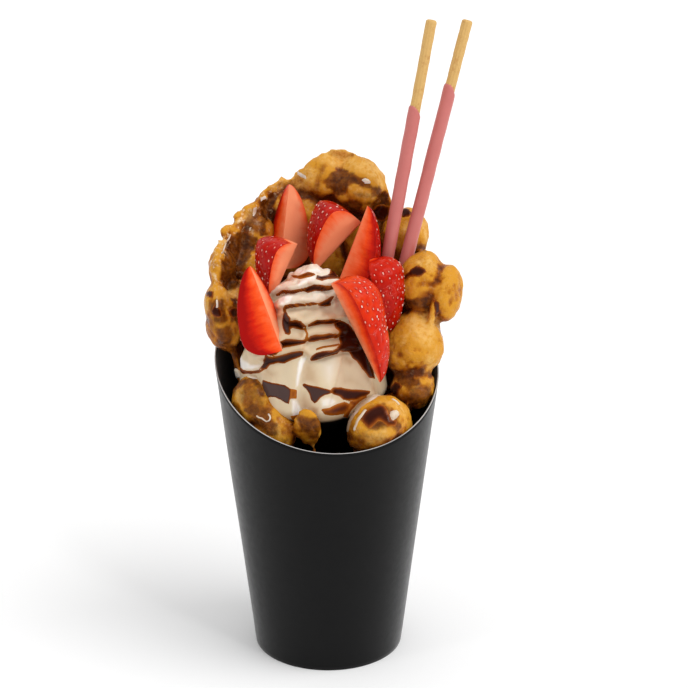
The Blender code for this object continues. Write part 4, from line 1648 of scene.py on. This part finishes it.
        # White and sauce tint by noise, on the melted cream and on the painted glints alike.
        melt_and_glints.values["milky_and_highlight"] = np.clip(0.5 + 0.6 * noise(melt_and_glints.points, 4.0, 64), 0.0, 1.0)
        melt_and_glints.values["stain_and_shade"] = np.clip(0.3 + 0.6 * noise(melt_and_glints.points, 5.0, 63), 0.0, 1.0)
        finished(melt_and_glints.place("waffle_melt_and_glints", VanillaCream().material), "vanilla_cream")
        points, normals, _ = mesh_arrays(self.waffle.data)
        bake = np.empty(len(points), np.float32)
        self.waffle.data.attributes["bake"].data.foreach_get("value", bake)
        # Chocolate tint and painted shadow darken the crust; paleness and painted highlights lighten it.
        tinted = ("stain_and_shade", self.browned_and_shadowed + self.pools, self.stain_bake), ("pale", self.paled_and_highlit, self.pale_bake)
        for name, patches, shift in tinted:
            share = smoothstep(-0.3, 0.7, poured(points, normals, patches, 2.2)[0])
            give_values(self.waffle.data, {name: share})
            bake = np.minimum(bake, 1.0) + share * shift
        give_values(self.waffle.data, {"bake": bake})


def over_line(path: Pixels, spots: Array, outer: float, inner: float) -> tuple[Array, Array]:
    """How places lie over a line that crosses the photograph.

    Args:
        path: the line's pixels, from left to right.
        spots: the places.
        outer: how far past its ends it fades out.
        inner: how far within its ends it is full.

    Returns:
        How many pixels above the line each place is, and how full the line is there, from 0 to 1.
    """
    corners = np.array(path, float).reshape(-1, 2)
    start, end = corners[0, 0], corners[-1, 0]
    above = np.interp(spots[:, 0], corners[:, 0], corners[:, 1]) - spots[:, 1]
    span = smoothstep(start - outer, start + inner, spots[:, 0])
    return above, span * smoothstep(end + outer, end - inner, spots[:, 0])


@dataclass
class IceCream:
    """Soft ice cream: a domed swirl with broad facets, creased folds, and steps between the runs of sauce."""

    axis: tuple[float, float] = (-6.5, -0.5)
    profile: tuple[tuple[float, float], ...] = (
        (74, 0), (77, 10), (98, 14), (107, 18), (113, 26), (121, 32), (136, 30.5), (150, 26),
        (162, 19), (171, 11), (175, 5), (177, 0),
    )
    flutes: int = 9
    flute_depth: float = 1.4
    flute_turn: float = 8.0
    shelf_rise: float = 2.7
    groove_depth: float = 1.0
    rough_from: tuple[float, float] = (157.0, 167.0)
    slump: tuple[float, float] = (243.0, 362.0)
    slump_size: tuple[float, float] = (17.0, 15.0)
    lift_depth: float = 12.0
    steps: int = 384
    rows: int = 250
    ridges: tuple[tuple[Pixels, float, float], ...] = (
        ((303, 342, 300, 365, 296, 390, 293, 414), 1.5, 4),
        ((341, 355, 337, 372, 331, 392, 327, 405), 1.1, 4),
        ((262, 368, 272, 376, 276, 392), 0.7, 3),
        ((363, 352, 368, 372, 373, 392), 0.9, 3.5),
    )
    layers: tuple[Pixels, ...] = (
        (273, 297, 282, 292, 295, 291, 308, 286, 323, 289, 336, 286, 348, 283),
        (283, 309, 292, 306, 307, 304, 319, 304, 330, 300, 342, 293),
        (285, 316, 289, 322, 297, 322, 304, 326.5, 309, 325, 316, 321, 328, 321, 341, 320),
        (281, 343, 292, 341.6, 303, 341.5, 308, 338.6, 324.5, 335.5, 338, 334.5),
        (262, 361, 272, 358, 284, 357, 294, 353.5, 302, 351.5, 310, 358, 322, 356, 333, 352, 344, 349,
            352, 349),
    )
    # Pools and runs of chocolate; a grey share paints a sheen on them.
    pools: tuple[Patch, ...] = (
        Patch((290, 275, 300, 275, 308, 272, 314, 273, 316, 275, 310, 277, 300, 279, 294, 278), 0.35, 4, 0.8),
        Patch((316, 279, 322, 281, 328, 279, 338, 279, 341, 279, 339, 276, 335, 272, 333, 268, 330, 268,
            330, 273, 327, 275, 322, 276, 317, 275), 0.4, 2.5),
        Patch((275, 295, 282, 290, 289, 290.5, 299, 289, 307, 287, 314, 284, 322, 285, 329, 286, 337, 283,
            344, 280, 350, 282, 345, 288, 339, 288.5, 332, 290, 323, 291, 316, 290.5, 308, 293, 304, 291.5,
            299, 292, 293, 294, 286, 294, 282, 294, 277, 297), 0.45, 2.5),
        Patch((283, 308, 285, 305, 289, 304, 298, 303.5, 307, 303, 312, 302, 318, 303, 323, 301, 327, 299,
            331, 296, 336, 295, 333, 298, 331, 302, 331, 306, 325, 306.5, 318, 306, 312, 306, 305, 306.5,
            297, 307, 289, 308.5, 286, 310, 283, 310), 0.35, 2.5, 0.9, 0.3),
        Patch((283, 308, 286, 310, 288, 315, 291, 318, 290, 324, 291, 333, 289, 335, 285, 334, 283, 329,
            282, 321, 283, 315), 0.4, 2.5, 1, 0.6),
        Patch((289, 321.5, 295, 319.5, 301, 321, 306.5, 326, 303, 326.5, 303.5, 330, 298, 329, 293, 328,
            290, 329, 288, 325), 0.45, 2.5),
        Patch((306.5, 326, 311, 322.5, 317, 319.5, 325, 319.5, 332, 318.5, 338, 319.5, 340, 323, 334, 323.5,
            327, 324.5, 321, 324.5, 314, 326, 309, 327), 0.45, 2.5),
        Patch((334, 323, 339, 320, 349, 324, 359, 337, 365, 349, 370, 359, 374, 370, 375, 379, 369, 378,
            362, 369, 357, 361, 352, 358, 349, 352, 340, 351, 337, 354.5, 331, 354.5, 332, 351, 337, 348,
            340, 344, 339, 340, 338, 335, 339, 331, 335, 328), 0.4, 3),
        Patch((280, 341.5, 286, 339, 294, 339.5, 302, 340, 307, 340, 305, 343.5, 298, 345.5, 294, 346.5,
            288, 347, 283, 348, 276, 355, 270, 356, 268, 354, 273, 348), 0.45, 2.5),
        Patch((307, 340, 310.5, 336, 316, 334.5, 323, 334.5, 329, 332.8, 337, 333.8, 340, 337.5, 335, 339,
            332, 338, 327, 339.5, 320.5, 340.5, 314, 341.8, 309, 341.8), 0.45, 3, 0.9),
        Patch((265, 354, 270.5, 357, 277, 356, 284, 354, 292, 351.5, 299.5, 350.5, 304, 351, 303, 355.5,
            297, 358.5, 290.5, 360.5, 285, 363.5, 278, 363, 274, 364.5, 270, 365, 267, 369, 264, 370,
            259, 369, 263, 364), 0.45, 2.5, 1, 0.5),
        Patch((310, 359, 311.5, 356, 316, 352.8, 323, 351, 332, 350.5, 338, 352, 334, 355, 327, 356.5,
            320.5, 358.5, 314, 360.8, 311, 360.8), 0.45, 2.5),
        Patch((262.5, 380, 270.5, 382.5, 278, 383.5, 285, 385, 291, 389.5, 290.5, 395, 289, 404.5, 282, 401,
            275, 397.5, 270, 397, 266.5, 399, 263.5, 392, 262, 385), 0.35, 2, 1, 1),
        Patch((290.5, 389, 297, 389.5, 297, 399, 290, 398.5), 0.3, 5, 0.3),
        Patch((302, 385, 304, 383.5, 309.5, 385, 316, 386.2, 323, 388, 329.5, 389.5, 333, 393, 325, 395,
            320.5, 397.8, 317, 402, 314.5, 403.3, 311.5, 400, 308.5, 393, 306, 389), 0.35, 2.5, 1, 0.6),
        Patch((329.5, 391, 333, 386.8, 341, 387.2, 351, 389.5, 362, 390, 371, 390.5, 370, 394, 363, 397,
            356, 400, 348, 400.5, 343, 399.5, 339.5, 396.5, 333, 394.5), 0.4, 3.5),
        Patch((348, 401, 356, 400, 366, 395, 367.5, 397, 359.5, 402, 352, 410, 347.5, 418, 342.5, 416.5,
            348, 409, 351.5, 405), 0.4, 4, 0.8, 0.2),
        Patch((320, 409, 329.5, 408, 337, 404, 345, 402, 351, 404, 349.5, 410, 343, 414.5, 333, 415.5,
            325, 414.5), 0.3, 6, 0.7, 0.3),
        Patch((303, 328, 306, 328, 308.5, 334, 307, 341, 304.5, 340, 306, 334), 0.25, 3, 0.3),
        Patch((316, 348.3, 323, 346.2, 331.5, 344.6, 340, 343, 340, 345.5, 331.5, 346.8, 323, 348.3,
            316, 350.3), 0.25, 2.5, 0.5),
        Patch((231, 362, 238, 364, 243, 370, 252, 371, 262, 369, 267, 365, 266, 369, 260, 373, 250, 374,
            243, 374, 237, 370), 0.3, 2.5),
        Patch((325, 263, 333, 259, 341, 256, 342, 260, 334, 263, 328, 266), 0.4, 2.5),
        Patch((290, 416, 300, 415, 306, 418, 300, 421, 292, 420), 0.25, 4, 0.4),
    )
    # Painted shade: tan where facets and shelves turn away from the light.
    tan: tuple[Patch, ...] = tints(
        (7, 0.55, (303, 360, 312, 362, 318, 372, 319, 388, 310, 385, 300, 383)),
        (5, 0.9, (341, 352, 349, 354, 356, 362, 350, 368, 342, 362)),
        (8, 0.4, (341, 372, 352, 370, 364, 380, 368, 390, 350, 389, 334, 387)),
        (6, 1, (358, 360, 366, 366, 376, 384, 380, 396, 370, 392, 364, 378)),
        (6, 1, (340, 392, 372, 392, 374, 404, 352, 420, 344, 416, 352, 402)),
        (5, 0.8, (334, 290, 346, 288, 346, 296, 334, 300)),
        (6, 0.4, (256, 372, 268, 366, 278, 372, 276, 382, 262, 380)),
        (6, 0.6, (300, 392, 307, 390, 312, 402, 309, 412, 301, 412, 297, 400)),
        (5, 0.8, (320, 309, 330, 310, 337, 318, 330, 319, 318, 319)),
        (4, 0.9, (311, 407, 319, 407, 320, 414, 313, 415)),
        (4, 0.9, (298, 332, 305, 330, 305, 339, 299, 340)),
    )
    # Painted highlights on the crest, the facets and the shelves, with the white melted cream at the left.
    white_and_highlit: tuple[Patch, ...] = tints(
        (2, 1, (301, 357, 308, 356, 304, 365, 301, 374, 299, 387, 295, 388, 296, 374, 298, 362)),
        (2.5, 1, (291, 399, 297, 399, 301, 408, 303, 416, 292, 417)),
        (3, 0.9, (278, 300, 283, 295, 293, 295, 291, 302, 283, 306, 279, 305)),
        (2.5, 0.8, (296, 285, 302, 280, 310, 276, 316, 276, 315, 281, 306, 283, 299, 287)),
        (2, 0.9, (291, 272, 294, 269, 306, 270, 318, 268, 321, 273, 310, 271, 300, 274)),
        (2.5, 1, (230, 351, 239, 351, 244, 359, 251, 364, 260, 364, 267, 359, 260, 368, 252, 370, 242, 370,
            237, 364, 232, 363, 229, 356)),
        (3, 0.6, (320, 399, 326, 397, 334, 397, 338, 402, 332, 407, 321, 408)),
        (2, 0.6, (303, 408, 308, 407, 309, 413, 304, 414)),
        (9, 0.4, (319, 362, 336, 356, 340, 364, 336, 378, 331, 388, 324, 384)),
    )

    def radius_at(self, height: Array) -> Array:
        """The dome's radius at each height, rounded between the profile's corners.

        Args:
            height: the heights.

        Returns:
            The radius, drawn in to nothing over the lowest and highest 3 mm.
        """
        heights, radii = zip(*self.profile)
        low, high = heights[0], heights[-1]
        spread = np.linspace(-2.5, 2.5, 7)
        rounded = np.mean([np.interp(height + step, heights, radii) for step in spread], axis=0)
        radius = np.where(height > heights[-2], np.interp(height, heights, radii), rounded)
        ends = smoothstep(low, low + 3.0, height) * smoothstep(high, high - 3.0, height)
        return radius * np.sqrt(ends.clip(0.0, 1.0))

    def base(self, turn: Array, height: Array) -> Array:
        """The fluted dome: its radius swells between creases that fade towards the top.

        Args:
            turn: the turns.
            height: the heights.

        Returns:
            The points.
        """
        radius = self.radius_at(height)
        wave = np.abs(np.cos(np.radians(self.flutes * (turn - self.flute_turn) / 2.0))) - 0.5
        radius = radius + self.flute_depth * wave * np.clip(radius / 20.0, 0.0, 1.0)
        middle = np.array([*self.axis, 0.0])
        return middle + outward(turn) * radius[..., None] + height[..., None] * UP

    def ridged(self, spots: Array) -> Array:
        """How far the ridges that run down the dome lift it: each rises slowly and falls sharply after it.

        Args:
            spots: where the dome's points are in the photograph.

        Returns:
            The lift of each point, in millimetres.
        """
        lift = np.zeros(len(spots))
        for path, rise, width in self.ridges:
            corners = np.array(path, float).reshape(-1, 2)
            aside = spots[:, 0] - np.interp(spots[:, 1], corners[:, 1], corners[:, 0])
            low, high = corners[0, 1], corners[-1, 1]
            begun = smoothstep(low - 14.0, low + 4.0, spots[:, 1])
            span = begun * smoothstep(high + 14.0, high - 2.0, spots[:, 1])
            lift += rise * span * smoothstep(-18.0, 0.0, aside) * smoothstep(width, 0.0, aside)
        return lift

    def shaped(self, turn: Array, height: Array) -> Array:
        """The dome with its ridges, its shelves of cream over each line of sauce, and its rough top.

        Args:
            turn: the turns.
            height: the heights.

        Returns:
            The points, each moved away from a place on the axis a little lower.
        """
        points = self.base(turn, height)
        flat = points.reshape(-1, 3)
        spots, _ = CAMERA.project(flat)
        front = smoothstep(-0.1, 0.35, (outward(turn).reshape(-1, 3) * CAMERA.axes()[0]).sum(1))
        lift = 0.55 * noise(flat, 11.0, 51) + 0.25 * noise(flat, 5.0, 52) + front * self.ridged(spots)
        uneven = 1.0 + 0.35 * noise(flat, 9.0, 56)
        for path in self.layers:
            above, span = over_line(path, spots, 12.0, 3.0)
            shelf = smoothstep(-1.2, 1.2, above) * smoothstep(14.0, 2.0, above)
            groove = np.exp(-(((above + 2.5) / 2.6) ** 2))
            lift += front * span * (self.shelf_rise * shelf - self.groove_depth * groove) * uneven
        upper = smoothstep(*self.rough_from, flat[:, 2])
        lift += upper * (1.4 * noise(flat, 5.5, 53) + 1.0 * noise(flat, 2.6, 54))
        away = (spots - np.array(self.slump)) / np.array(self.slump_size)
        left = np.exp(-(away[:, 0] ** 2 + away[:, 1] ** 2)) * front
        lift += left * (1.0 + 1.5 * noise(flat, 6.0, 55))
        direction = flat - np.array([*self.axis, 0.0]) - (flat[:, 2:] - self.lift_depth) * UP
        direction /= np.linalg.norm(direction, axis=1, keepdims=True)
        return (flat + direction * lift[:, None]).reshape(points.shape)

    def soaked_and_shaded(self, points: Array, spots: Array) -> Array:
        """How far the cream is darkened: sauce tint and painted shade just over each line of sauce, and
        painted shade along the lower edge.

        Args:
            points: the dome's points.
            spots: where they are in the photograph.

        Returns:
            The share of tint at each.
        """
        # Painted shade along the dome's lower edge.
        stain_and_shade = 0.45 * smoothstep(123.5, 118.5, points[:, 2])
        front = smoothstep(0.0, -8.0, points[:, 1])
        uneven = 1.0 + 0.8 * noise(points, 5.0, 57)
        for path in self.layers:
            above, span = over_line(path, spots, 8.0, 0.0)
            # Sauce tint and painted shade just over each line of sauce.
            band = 0.45 * smoothstep(12.0, 2.0, above) * (above > 0.0)
            shade = np.exp(-(((above - 2.0) / 2.6) ** 2)) + band
            stain_and_shade = np.maximum(stain_and_shade, 0.36 * shade * span * front * uneven)
        return stain_and_shade

    def grid(self) -> Surface:
        """The whole dome as one closed surface, from its foot to its top."""
        low, high = self.profile[0][0], self.profile[-1][0]
        heights = low + (high - low) * (0.5 - 0.5 * np.cos(np.pi * np.linspace(0.004, 0.996, self.rows)))
        turns = np.arange(self.steps) * 360.0 / self.steps
        turn, height = np.broadcast_arrays(turns[None, :], heights[:, None])
        return lofted(self.shaped(turn, height))

    def build(self) -> None:
        """Makes the dome and the chocolate that runs over it."""
        dome = self.grid()
        piece = finished(dome.place("ice_cream_swirl", VanillaCream().material), "vanilla_cream", "ice_cream")
        points, normals, _ = mesh_arrays(piece.data)
        spots, _ = CAMERA.project(points)
        # Painted shade from the tan patches.
        tan = smoothstep(-0.3, 1.0, poured(points, normals, self.tan, 1.2)[0])
        # Painted highlights, with the white melted cream at the left.
        white_and_highlit = smoothstep(-0.2, 1.0, poured(points, normals, self.white_and_highlit, 0.5)[0])
        give_values(piece.data, {
            # Painted highlights, and cream whiter towards the top.
            "milky_and_highlight": np.clip(white_and_highlit + 0.5 * smoothstep(160.0, 170.0, points[:, 2]), 0.0, 1.0),
            # Painted shade: near black below the dome's lip.
            "painted_deep_shade": smoothstep(119.0, 117.0, points[:, 2]),
            # Sauce tint and painted shade, clear of the painted highlights.
            "stain_and_shade": np.clip(np.maximum(self.soaked_and_shaded(points, spots), 0.75 * tan), 0.0, 1.0) * (1.0 - white_and_highlit),
        })
        sauce = sauce_on(piece, self.pools, (), 0.35, 400)
        finished(sauce.place("ice_cream_chocolate", Chocolate().material), None)


@dataclass
class StrawberryPiece:
    """A wedge of strawberry: the turned skin, two cut faces that meet at the core, and seeds in dimples."""

    number: int
    shoulder: tuple[float, float, float]
    tip: tuple[float, float, float]
    skin: tuple[float, float, float]
    half_width: float
    wedge: float
    ripe: float = 0.7
    # Redness added to the flesh of each cut face, partly painted shade and light for how each face is lit.
    redness_and_shade: tuple[float, float] = (0.0, 0.0)
    rows: int = 110
    across: int = 90
    inward: int = 36
    seed_gap: float = 3.3
    corner: float = 0.5
    pit_depth: float = 0.38
    face_bulge: float = 0.45
    cap: tuple[float, ...] = (0.25, 0.55, 0.8, 0.95)
    seed_size: tuple[float, float, float] = (0.32, 0.24, 0.62)

    def frame(self) -> tuple[Array, float]:
        """The directions of the skin, aside and along as rows, and the length."""
        way = np.array(self.tip) - np.array(self.shoulder)
        length = float(np.linalg.norm(way))
        way /= length
        facing = np.array(self.skin, float)
        facing -= way * (facing @ way)
        facing /= np.linalg.norm(facing)
        return np.stack([facing, np.cross(way, facing), way]), length

    def radius_at(self, share: Array) -> Array:
        """The skin's radius from shoulder to tip, in millimetres."""
        swell = np.sqrt(1.0 - (1.0 - np.minimum(1.0, share / 0.28)) ** 2)
        return self.half_width * (0.3 + 0.7 * swell) * (1.0 - share**1.9).clip(0.0) ** 0.62

    def section(self) -> tuple[Array, Array, Array, Array]:
        """One cross-section, counter-clockwise, at unit radius.

        Returns:
            Each point's angle, its reach from the core from 0 to 1, its share of skin, and which cut face
            it is on: -1, 0 for skin, or 1.
        """
        half = math.radians(self.wedge / 2.0)
        arc = np.linspace(-half, half, self.across)
        reach = np.linspace(1.0, 0.0, self.inward + 2)[1:-1] ** 0.8
        angle = np.concatenate([arc, np.full(self.inward, half), [0.0], np.full(self.inward, -half)])
        far = np.concatenate([np.ones(self.across), reach, [0.0], reach[::-1]])
        skin = np.concatenate([np.ones(self.across), np.zeros(2 * self.inward + 1)])
        side = np.concatenate([np.zeros(self.across), np.ones(self.inward), [0.0], -np.ones(self.inward)])
        return angle, far, skin, side

    def seeds_at(self, length: float) -> Array:
        """The seeds' places on the skin as share along and angle, in staggered rows a seed's gap apart."""
        places = []
        rows = int(length / (self.seed_gap * 0.86))
        half = math.radians(self.wedge / 2.0)
        rng = np.random.default_rng(70 + self.number)
        for row in range(rows):
            share = (row + 0.6) / rows
            radius = float(self.radius_at(np.array(share)))
            if radius < 2.0:
                continue
            gap = self.seed_gap / radius * (0.75 + 0.25 * radius / self.half_width)
            first = (row % 2) * gap / 2.0
            for angle in np.arange(-half + 0.35 * gap + first % gap, half - 0.2 * gap, gap):
                places.append((share + rng.normal(0.0, 0.014), angle + rng.normal(0.0, 0.16 * gap)))
        return np.array(places)

    def pits(self, seeds: Array, angle: Array, shares: Array, length: float) -> Array:
        """How far into a seed's dimple each point is, from 0 to 1, by the distance to the nearest seed.

        Args:
            seeds: the seeds' places.
            angle: the section's angles.
            shares: how far along each section is.
            length: the piece's length.

        Returns:
            Array of sections x angles.
        """
        arc_gap = angle[None, :] * self.radius_at(shares)[:, None]
        pit = np.zeros(arc_gap.shape)
        for share, turn in seeds:
            there = self.radius_at(np.array(share))
            away = (arc_gap - turn * there) ** 2 + ((shares[:, None] - share) * length) ** 2 * 0.65
            pit = np.maximum(pit, np.exp(-away / 0.75))
        return pit

    def build(self) -> None:
        """Lofts the sections from the shoulder to the tip, dimples the skin and sets the seeds."""
        axes, length = self.frame()
        angle, far, skin, side = self.section()
        half = math.radians(self.wedge / 2.0)
        shares = 0.5 - 0.5 * np.cos(np.pi * np.linspace(0.0, 1.0, self.rows) ** 0.9)
        shares = np.clip(shares, 0.004, 0.996)
        shares = np.concatenate([np.full(len(self.cap), shares[0]), shares])
        shrink = np.concatenate([self.cap, np.ones(self.rows)])[:, None]
        seeds = self.seeds_at(length)
        pit = self.pits(seeds, angle, shares, length) * (skin[None, :] * (shrink > 0.99))
        seeded = np.stack([np.cos(angle) * far, np.sin(angle) * far, 0.0 * far], -1)[None] * self.half_width
        seeded = seeded + shares[:, None, None] * length * UP + 31.0 * self.number
        lumps = 0.35 * noise(seeded, 9.0, 71) + 0.12 * noise(seeded, 3.0, 72)
        edge = np.minimum(1.0, (1.0 - np.abs(angle) / half) * self.half_width / 1.6)
        rounding = self.corner * (1.0 - edge) ** 2 * (skin > 0.5)
        lumps = lumps * far[None, :] * shrink * smoothstep(1.0, 0.9, shares)[:, None]
        radius = (self.radius_at(shares)[:, None] * shrink) * far[None, :]
        radius = radius - self.pit_depth * pit - rounding[None, :] + lumps
        bulge = self.face_bulge * np.sin(np.pi * far) * np.abs(side)
        swell = bulge * smoothstep(0.0, 0.15, shares)[:, None] * smoothstep(1.0, 0.8, shares)[:, None]
        swell = swell * (1.0 + 0.8 * noise(seeded, 5.0, 73)) * shrink
        turned = np.stack([np.cos(angle), np.sin(angle)], -1)[None] * radius.clip(0.0)[..., None]
        normal = np.stack([-np.sin(half) * np.abs(side), np.cos(half) * side], -1)
        turned = turned + normal[None] * swell[..., None]
        depth = shares[:, None] * length + 0.0 * angle[None, :] - (1.0 - shrink) * 0.6
        points = np.array(self.shoulder) + np.concatenate([turned, depth[..., None]], -1) @ axes
        reach = far[None, :] * shrink
        # Per-face redness, partly painted shade and light.
        added = np.where(side < 0.0, self.redness_and_shade[0], self.redness_and_shade[1])
        values = {
            "skin": skin[None, :] * (shrink > 0.9), "ripe": self.ripe + 0.25 * (shares[:, None] - 0.5),
            "pit": pit, "along": shares[:, None], "reach": reach, "side": side[None, :],
            "red": reach**1.3 * 0.9 + added[None, :],
        }
        surface = lofted(points, {name: value + 0.0 * reach for name, value in values.items()})
        piece = surface.place(f"berry_piece_{self.number}", Strawberry().material)
        finished(piece, "ripe_berry", f"strawberry_{self.number}")
        self.sow(seeds, axes, length)

    def sow(self, seeds: Array, axes: Array, length: float) -> None:
        """Sets a small pointed seed in each dimple, its tip towards the berry's tip.

        Args:
            seeds: the seeds' places.
            axes: the piece's directions.
            length: its length.
        """
        ball = unit_ball(8, 7)
        rng = np.random.default_rng(170 + self.number)
        grown: Surface | None = None
        for share, turn in seeds:
            radius = float(self.radius_at(np.array(share)))
            slope = float(self.radius_at(np.array(min(share + 0.01, 0.999))) - radius) / (0.01 * length)
            out = np.array([math.cos(turn), math.sin(turn), -slope])
            out /= np.linalg.norm(out)
            along = np.array([math.cos(turn) * slope, math.sin(turn) * slope, 1.0])
            along /= np.linalg.norm(along)
            local = np.stack([np.cross(along, out), out, along])
            middle = np.array([math.cos(turn) * radius, math.sin(turn) * radius, share * length]) - out * 0.22
            pear = ball * np.array(self.seed_size) * (1.0 - 0.3 * ball[..., 2:]) * rng.uniform(0.6, 1.1)
            seed = lofted(np.array(self.shoulder) + (middle + pear @ local) @ axes)
            grown = grown.joined(seed) if grown else seed
        if grown:
            finished(grown.place(f"berry_seeds_{self.number}", Seed().material), None)


@dataclass
class BiscuitStick:
    """A thin biscuit stick, dipped in pink coating up to an uneven slanted lip."""

    number: int
    foot: tuple[float, float, float]
    top: tuple[float, float, float]
    coated: float
    biscuit: float = 2.3
    coat: float = 2.85
    around: int = 56
    grooves: int = 11
    lip_slant: float = 2.2

    def tube(self, start: float, end: float, radius: Callable[[Array, Array], Array], rows: int) -> Array:
        """Rings square to the stick.

        Args:
            start: how far along it they begin.
            end: how far along it they end.
            radius: the radius for each place along it and angle.
            rows: how many rings.

        Returns:
            Their points.
        """
        foot, top = np.array(self.foot), np.array(self.top)
        way = (top - foot) / np.linalg.norm(top - foot)
        side = np.cross(way, [0.0, 1.0, 0.0])
        side /= np.linalg.norm(side)
        other = np.cross(way, side)
        reach = np.linspace(start, end, rows)[:, None]
        angle = np.linspace(0.0, 2.0 * np.pi, self.around, endpoint=False)[None, :]
        size = radius(reach, angle)
        across = np.cos(angle)[..., None] * side + np.sin(angle)[..., None] * other
        return foot + reach[..., None] * way + across * size[..., None]

    def build(self) -> None:
        """Makes the grooved biscuit and the coating round it."""
        length = float(np.linalg.norm(np.array(self.top) - np.array(self.foot)))

        def bare(reach: Array, angle: Array) -> Array:
            """The biscuit: shallow grooves, lumps, and a rounded broken end."""
            grain = 0.09 * np.cos(self.grooves * angle + 0.35 * np.sin(reach / 7.0))
            lumps = np.stack(np.broadcast_arrays(np.cos(angle) * 2.0, np.sin(angle) * 2.0, reach / 1.6), -1)
            rough = 0.12 * noise(lumps, 1.4, 80 + self.number)
            end = np.sqrt((1.0 - smoothstep(length - 0.8, length + 0.5, reach) * 0.75).clip(0.0))
            return (self.biscuit - 0.06 + grain + rough) * end

        def dipped(reach: Array, angle: Array) -> Array:
            """The coating: soft waves along it, drawn in to nothing at both ends by a quarter-round."""
            lumps = np.stack(np.broadcast_arrays(np.cos(angle) * 2.5, np.sin(angle) * 2.5, reach / 2.4), -1)
            waves = 0.1 * noise(lumps, 2.2, 90 + self.number)
            lip = self.coated + self.lip_slant * np.cos(angle - 0.6) + 0.5 * noise(lumps * 1.7, 2.0, 95)
            end = smoothstep(lip, lip - 1.6, reach) ** 0.5
            foot = 1.0 - 0.35 * smoothstep(1.2, 0.0, reach) ** 2
            return (self.biscuit - 0.35 + (self.coat - self.biscuit + 0.35 + waves) * end) * foot

        inner = lofted(self.tube(0.4, length, bare, 420))
        outer = lofted(self.tube(0.0, self.coated + 4.0, dipped, 340))
        finished(inner.place(f"biscuit_{self.number}", Biscuit().material), None)
        coating = outer.place(f"pink_coat_{self.number}", PinkCoating().material)
        finished(coating, "pink_coating", f"stick_{self.number}")


# A closing pair of numbers gives the redness of the two cut faces, partly painted shade and light.
BERRIES = (
    StrawberryPiece(1, (-20.9, 19.5, 168.7), (-16.7, 29.5, 203.6), (0.22, 0.93, -0.29), 18, 68, 0.3,
                    (-0.45, 0.2)),
    StrawberryPiece(2, (14.3, 24, 187.6), (-5, 17, 168.5), (-0.68, 0.2, 0.7), 21, 100, 0.75, (-0.4, -0.4)),
    StrawberryPiece(3, (5, 12.7, 166.3), (17, 18.7, 197.4), (1, 0.1, 0.1), 15, 80, 0.6, (0.12, 0.12)),
    StrawberryPiece(4, (18, 5, 177.3), (26.7, 0.8, 146.2), (0.8, -0.6, 0.2), 13.6, 115, 0.6, (0.3, 0.3)),
    StrawberryPiece(5, (1.5, -16.4, 174.3), (21.9, -26.4, 133.8), (0.85, -0.25, 0.45), 17.5, 90, 0.35),
    StrawberryPiece(6, (-19.1, -27.5, 149), (-32.2, -15.5, 182), (-0.56, 0.69, -0.46), 15.7, 104, 0.6,
                    (-0.12, 0.4)),
    StrawberryPiece(7, (-12.9, 6, 184), (-23.6, 0.5, 161), (-0.9, -0.2, 0.35), 17, 95, 0.75, (-0.4, -0.4)),
)

STICKS = (
    BiscuitStick(1, (19.7, 13, 141.1), (43.8, 28, 276.1), 99.5),
    BiscuitStick(2, (28.9, 14, 154), (59.1, 33, 274.9), 96.5),
)


@dataclass(frozen=True)
class SoftSun:
    """A distant soft light: the way to it, how wide it looks in degrees, and its strength."""

    name: str
    place: tuple[float, float, float]
    width: float
    strength: float

    def build(self) -> None:
        """Adds the light, turned so that it shines from its place towards the dessert."""
        data = bpy.data.lights.new(self.name, "SUN")
        data.angle, data.energy = math.radians(self.width), self.strength
        lamp = bpy.data.objects.new(self.name, data)
        way = np.array(self.place) / np.linalg.norm(self.place)
        lamp.location = way * 2.0
        lamp.rotation_euler = (math.acos(way[2]), 0.0, math.atan2(way[0], -way[1]))
        bpy.context.scene.collection.objects.link(lamp)


@dataclass
class Stage:
    """A pale floor, a dim white world and soft studio lights, the strongest above on the right."""

    floor_side: float = 8.0
    world: float = 0.72
    lights: tuple[SoftSun, ...] = (
        SoftSun("key_light", (0.6, -0.2, 0.8), 44.0, 1.25),
        SoftSun("top_light", (-0.2, 0.45, 0.87), 80.0, 0.3),
        SoftSun("right_glint", (0.45, -0.55, 0.7), 7.0, 0.22),
        SoftSun("left_glint", (-0.5, -0.35, 0.8), 7.0, 0.12),
    )

    def build(self) -> None:
        """Adds the floor, the world, the lights and the camera."""
        half = self.floor_side / 2.0
        mesh = bpy.data.meshes.new("pale_floor")
        corners = [(-half, -half, 0.0), (half, -half, 0.0), (half, half, 0.0), (-half, half, 0.0)]
        mesh.from_pydata(corners, [], [(0, 1, 2, 3)])
        mesh.materials.append(PaleFloor().material)
        floor = bpy.data.objects.new("pale_floor", mesh)
        bpy.context.scene.collection.objects.link(floor)
        world = bpy.data.worlds.new("white_room")
        world.use_nodes = True
        ground = world.node_tree.nodes["Background"]
        ground.inputs["Color"].default_value = (1.0, 1.0, 1.0, 1.0)
        ground.inputs["Strength"].default_value = self.world
        bpy.context.scene.world = world
        for light in self.lights:
            light.build()
        bpy.context.scene.view_settings.view_transform = "Standard"
        CAMERA.make()


def main() -> None:
    """Builds every piece in order, and reports each as it is made."""
    Stage().build()
    ScoopCup().build()
    waffle = WaffleSheet().build()
    WaffleSauce(waffle).build()
    IceCream().build()
    for berry in BERRIES:
        berry.build()
    for stick in STICKS:
        stick.build()


if __name__ == "__main__":
    logging.basicConfig(level=logging.INFO, format="%(message)s")
    main()
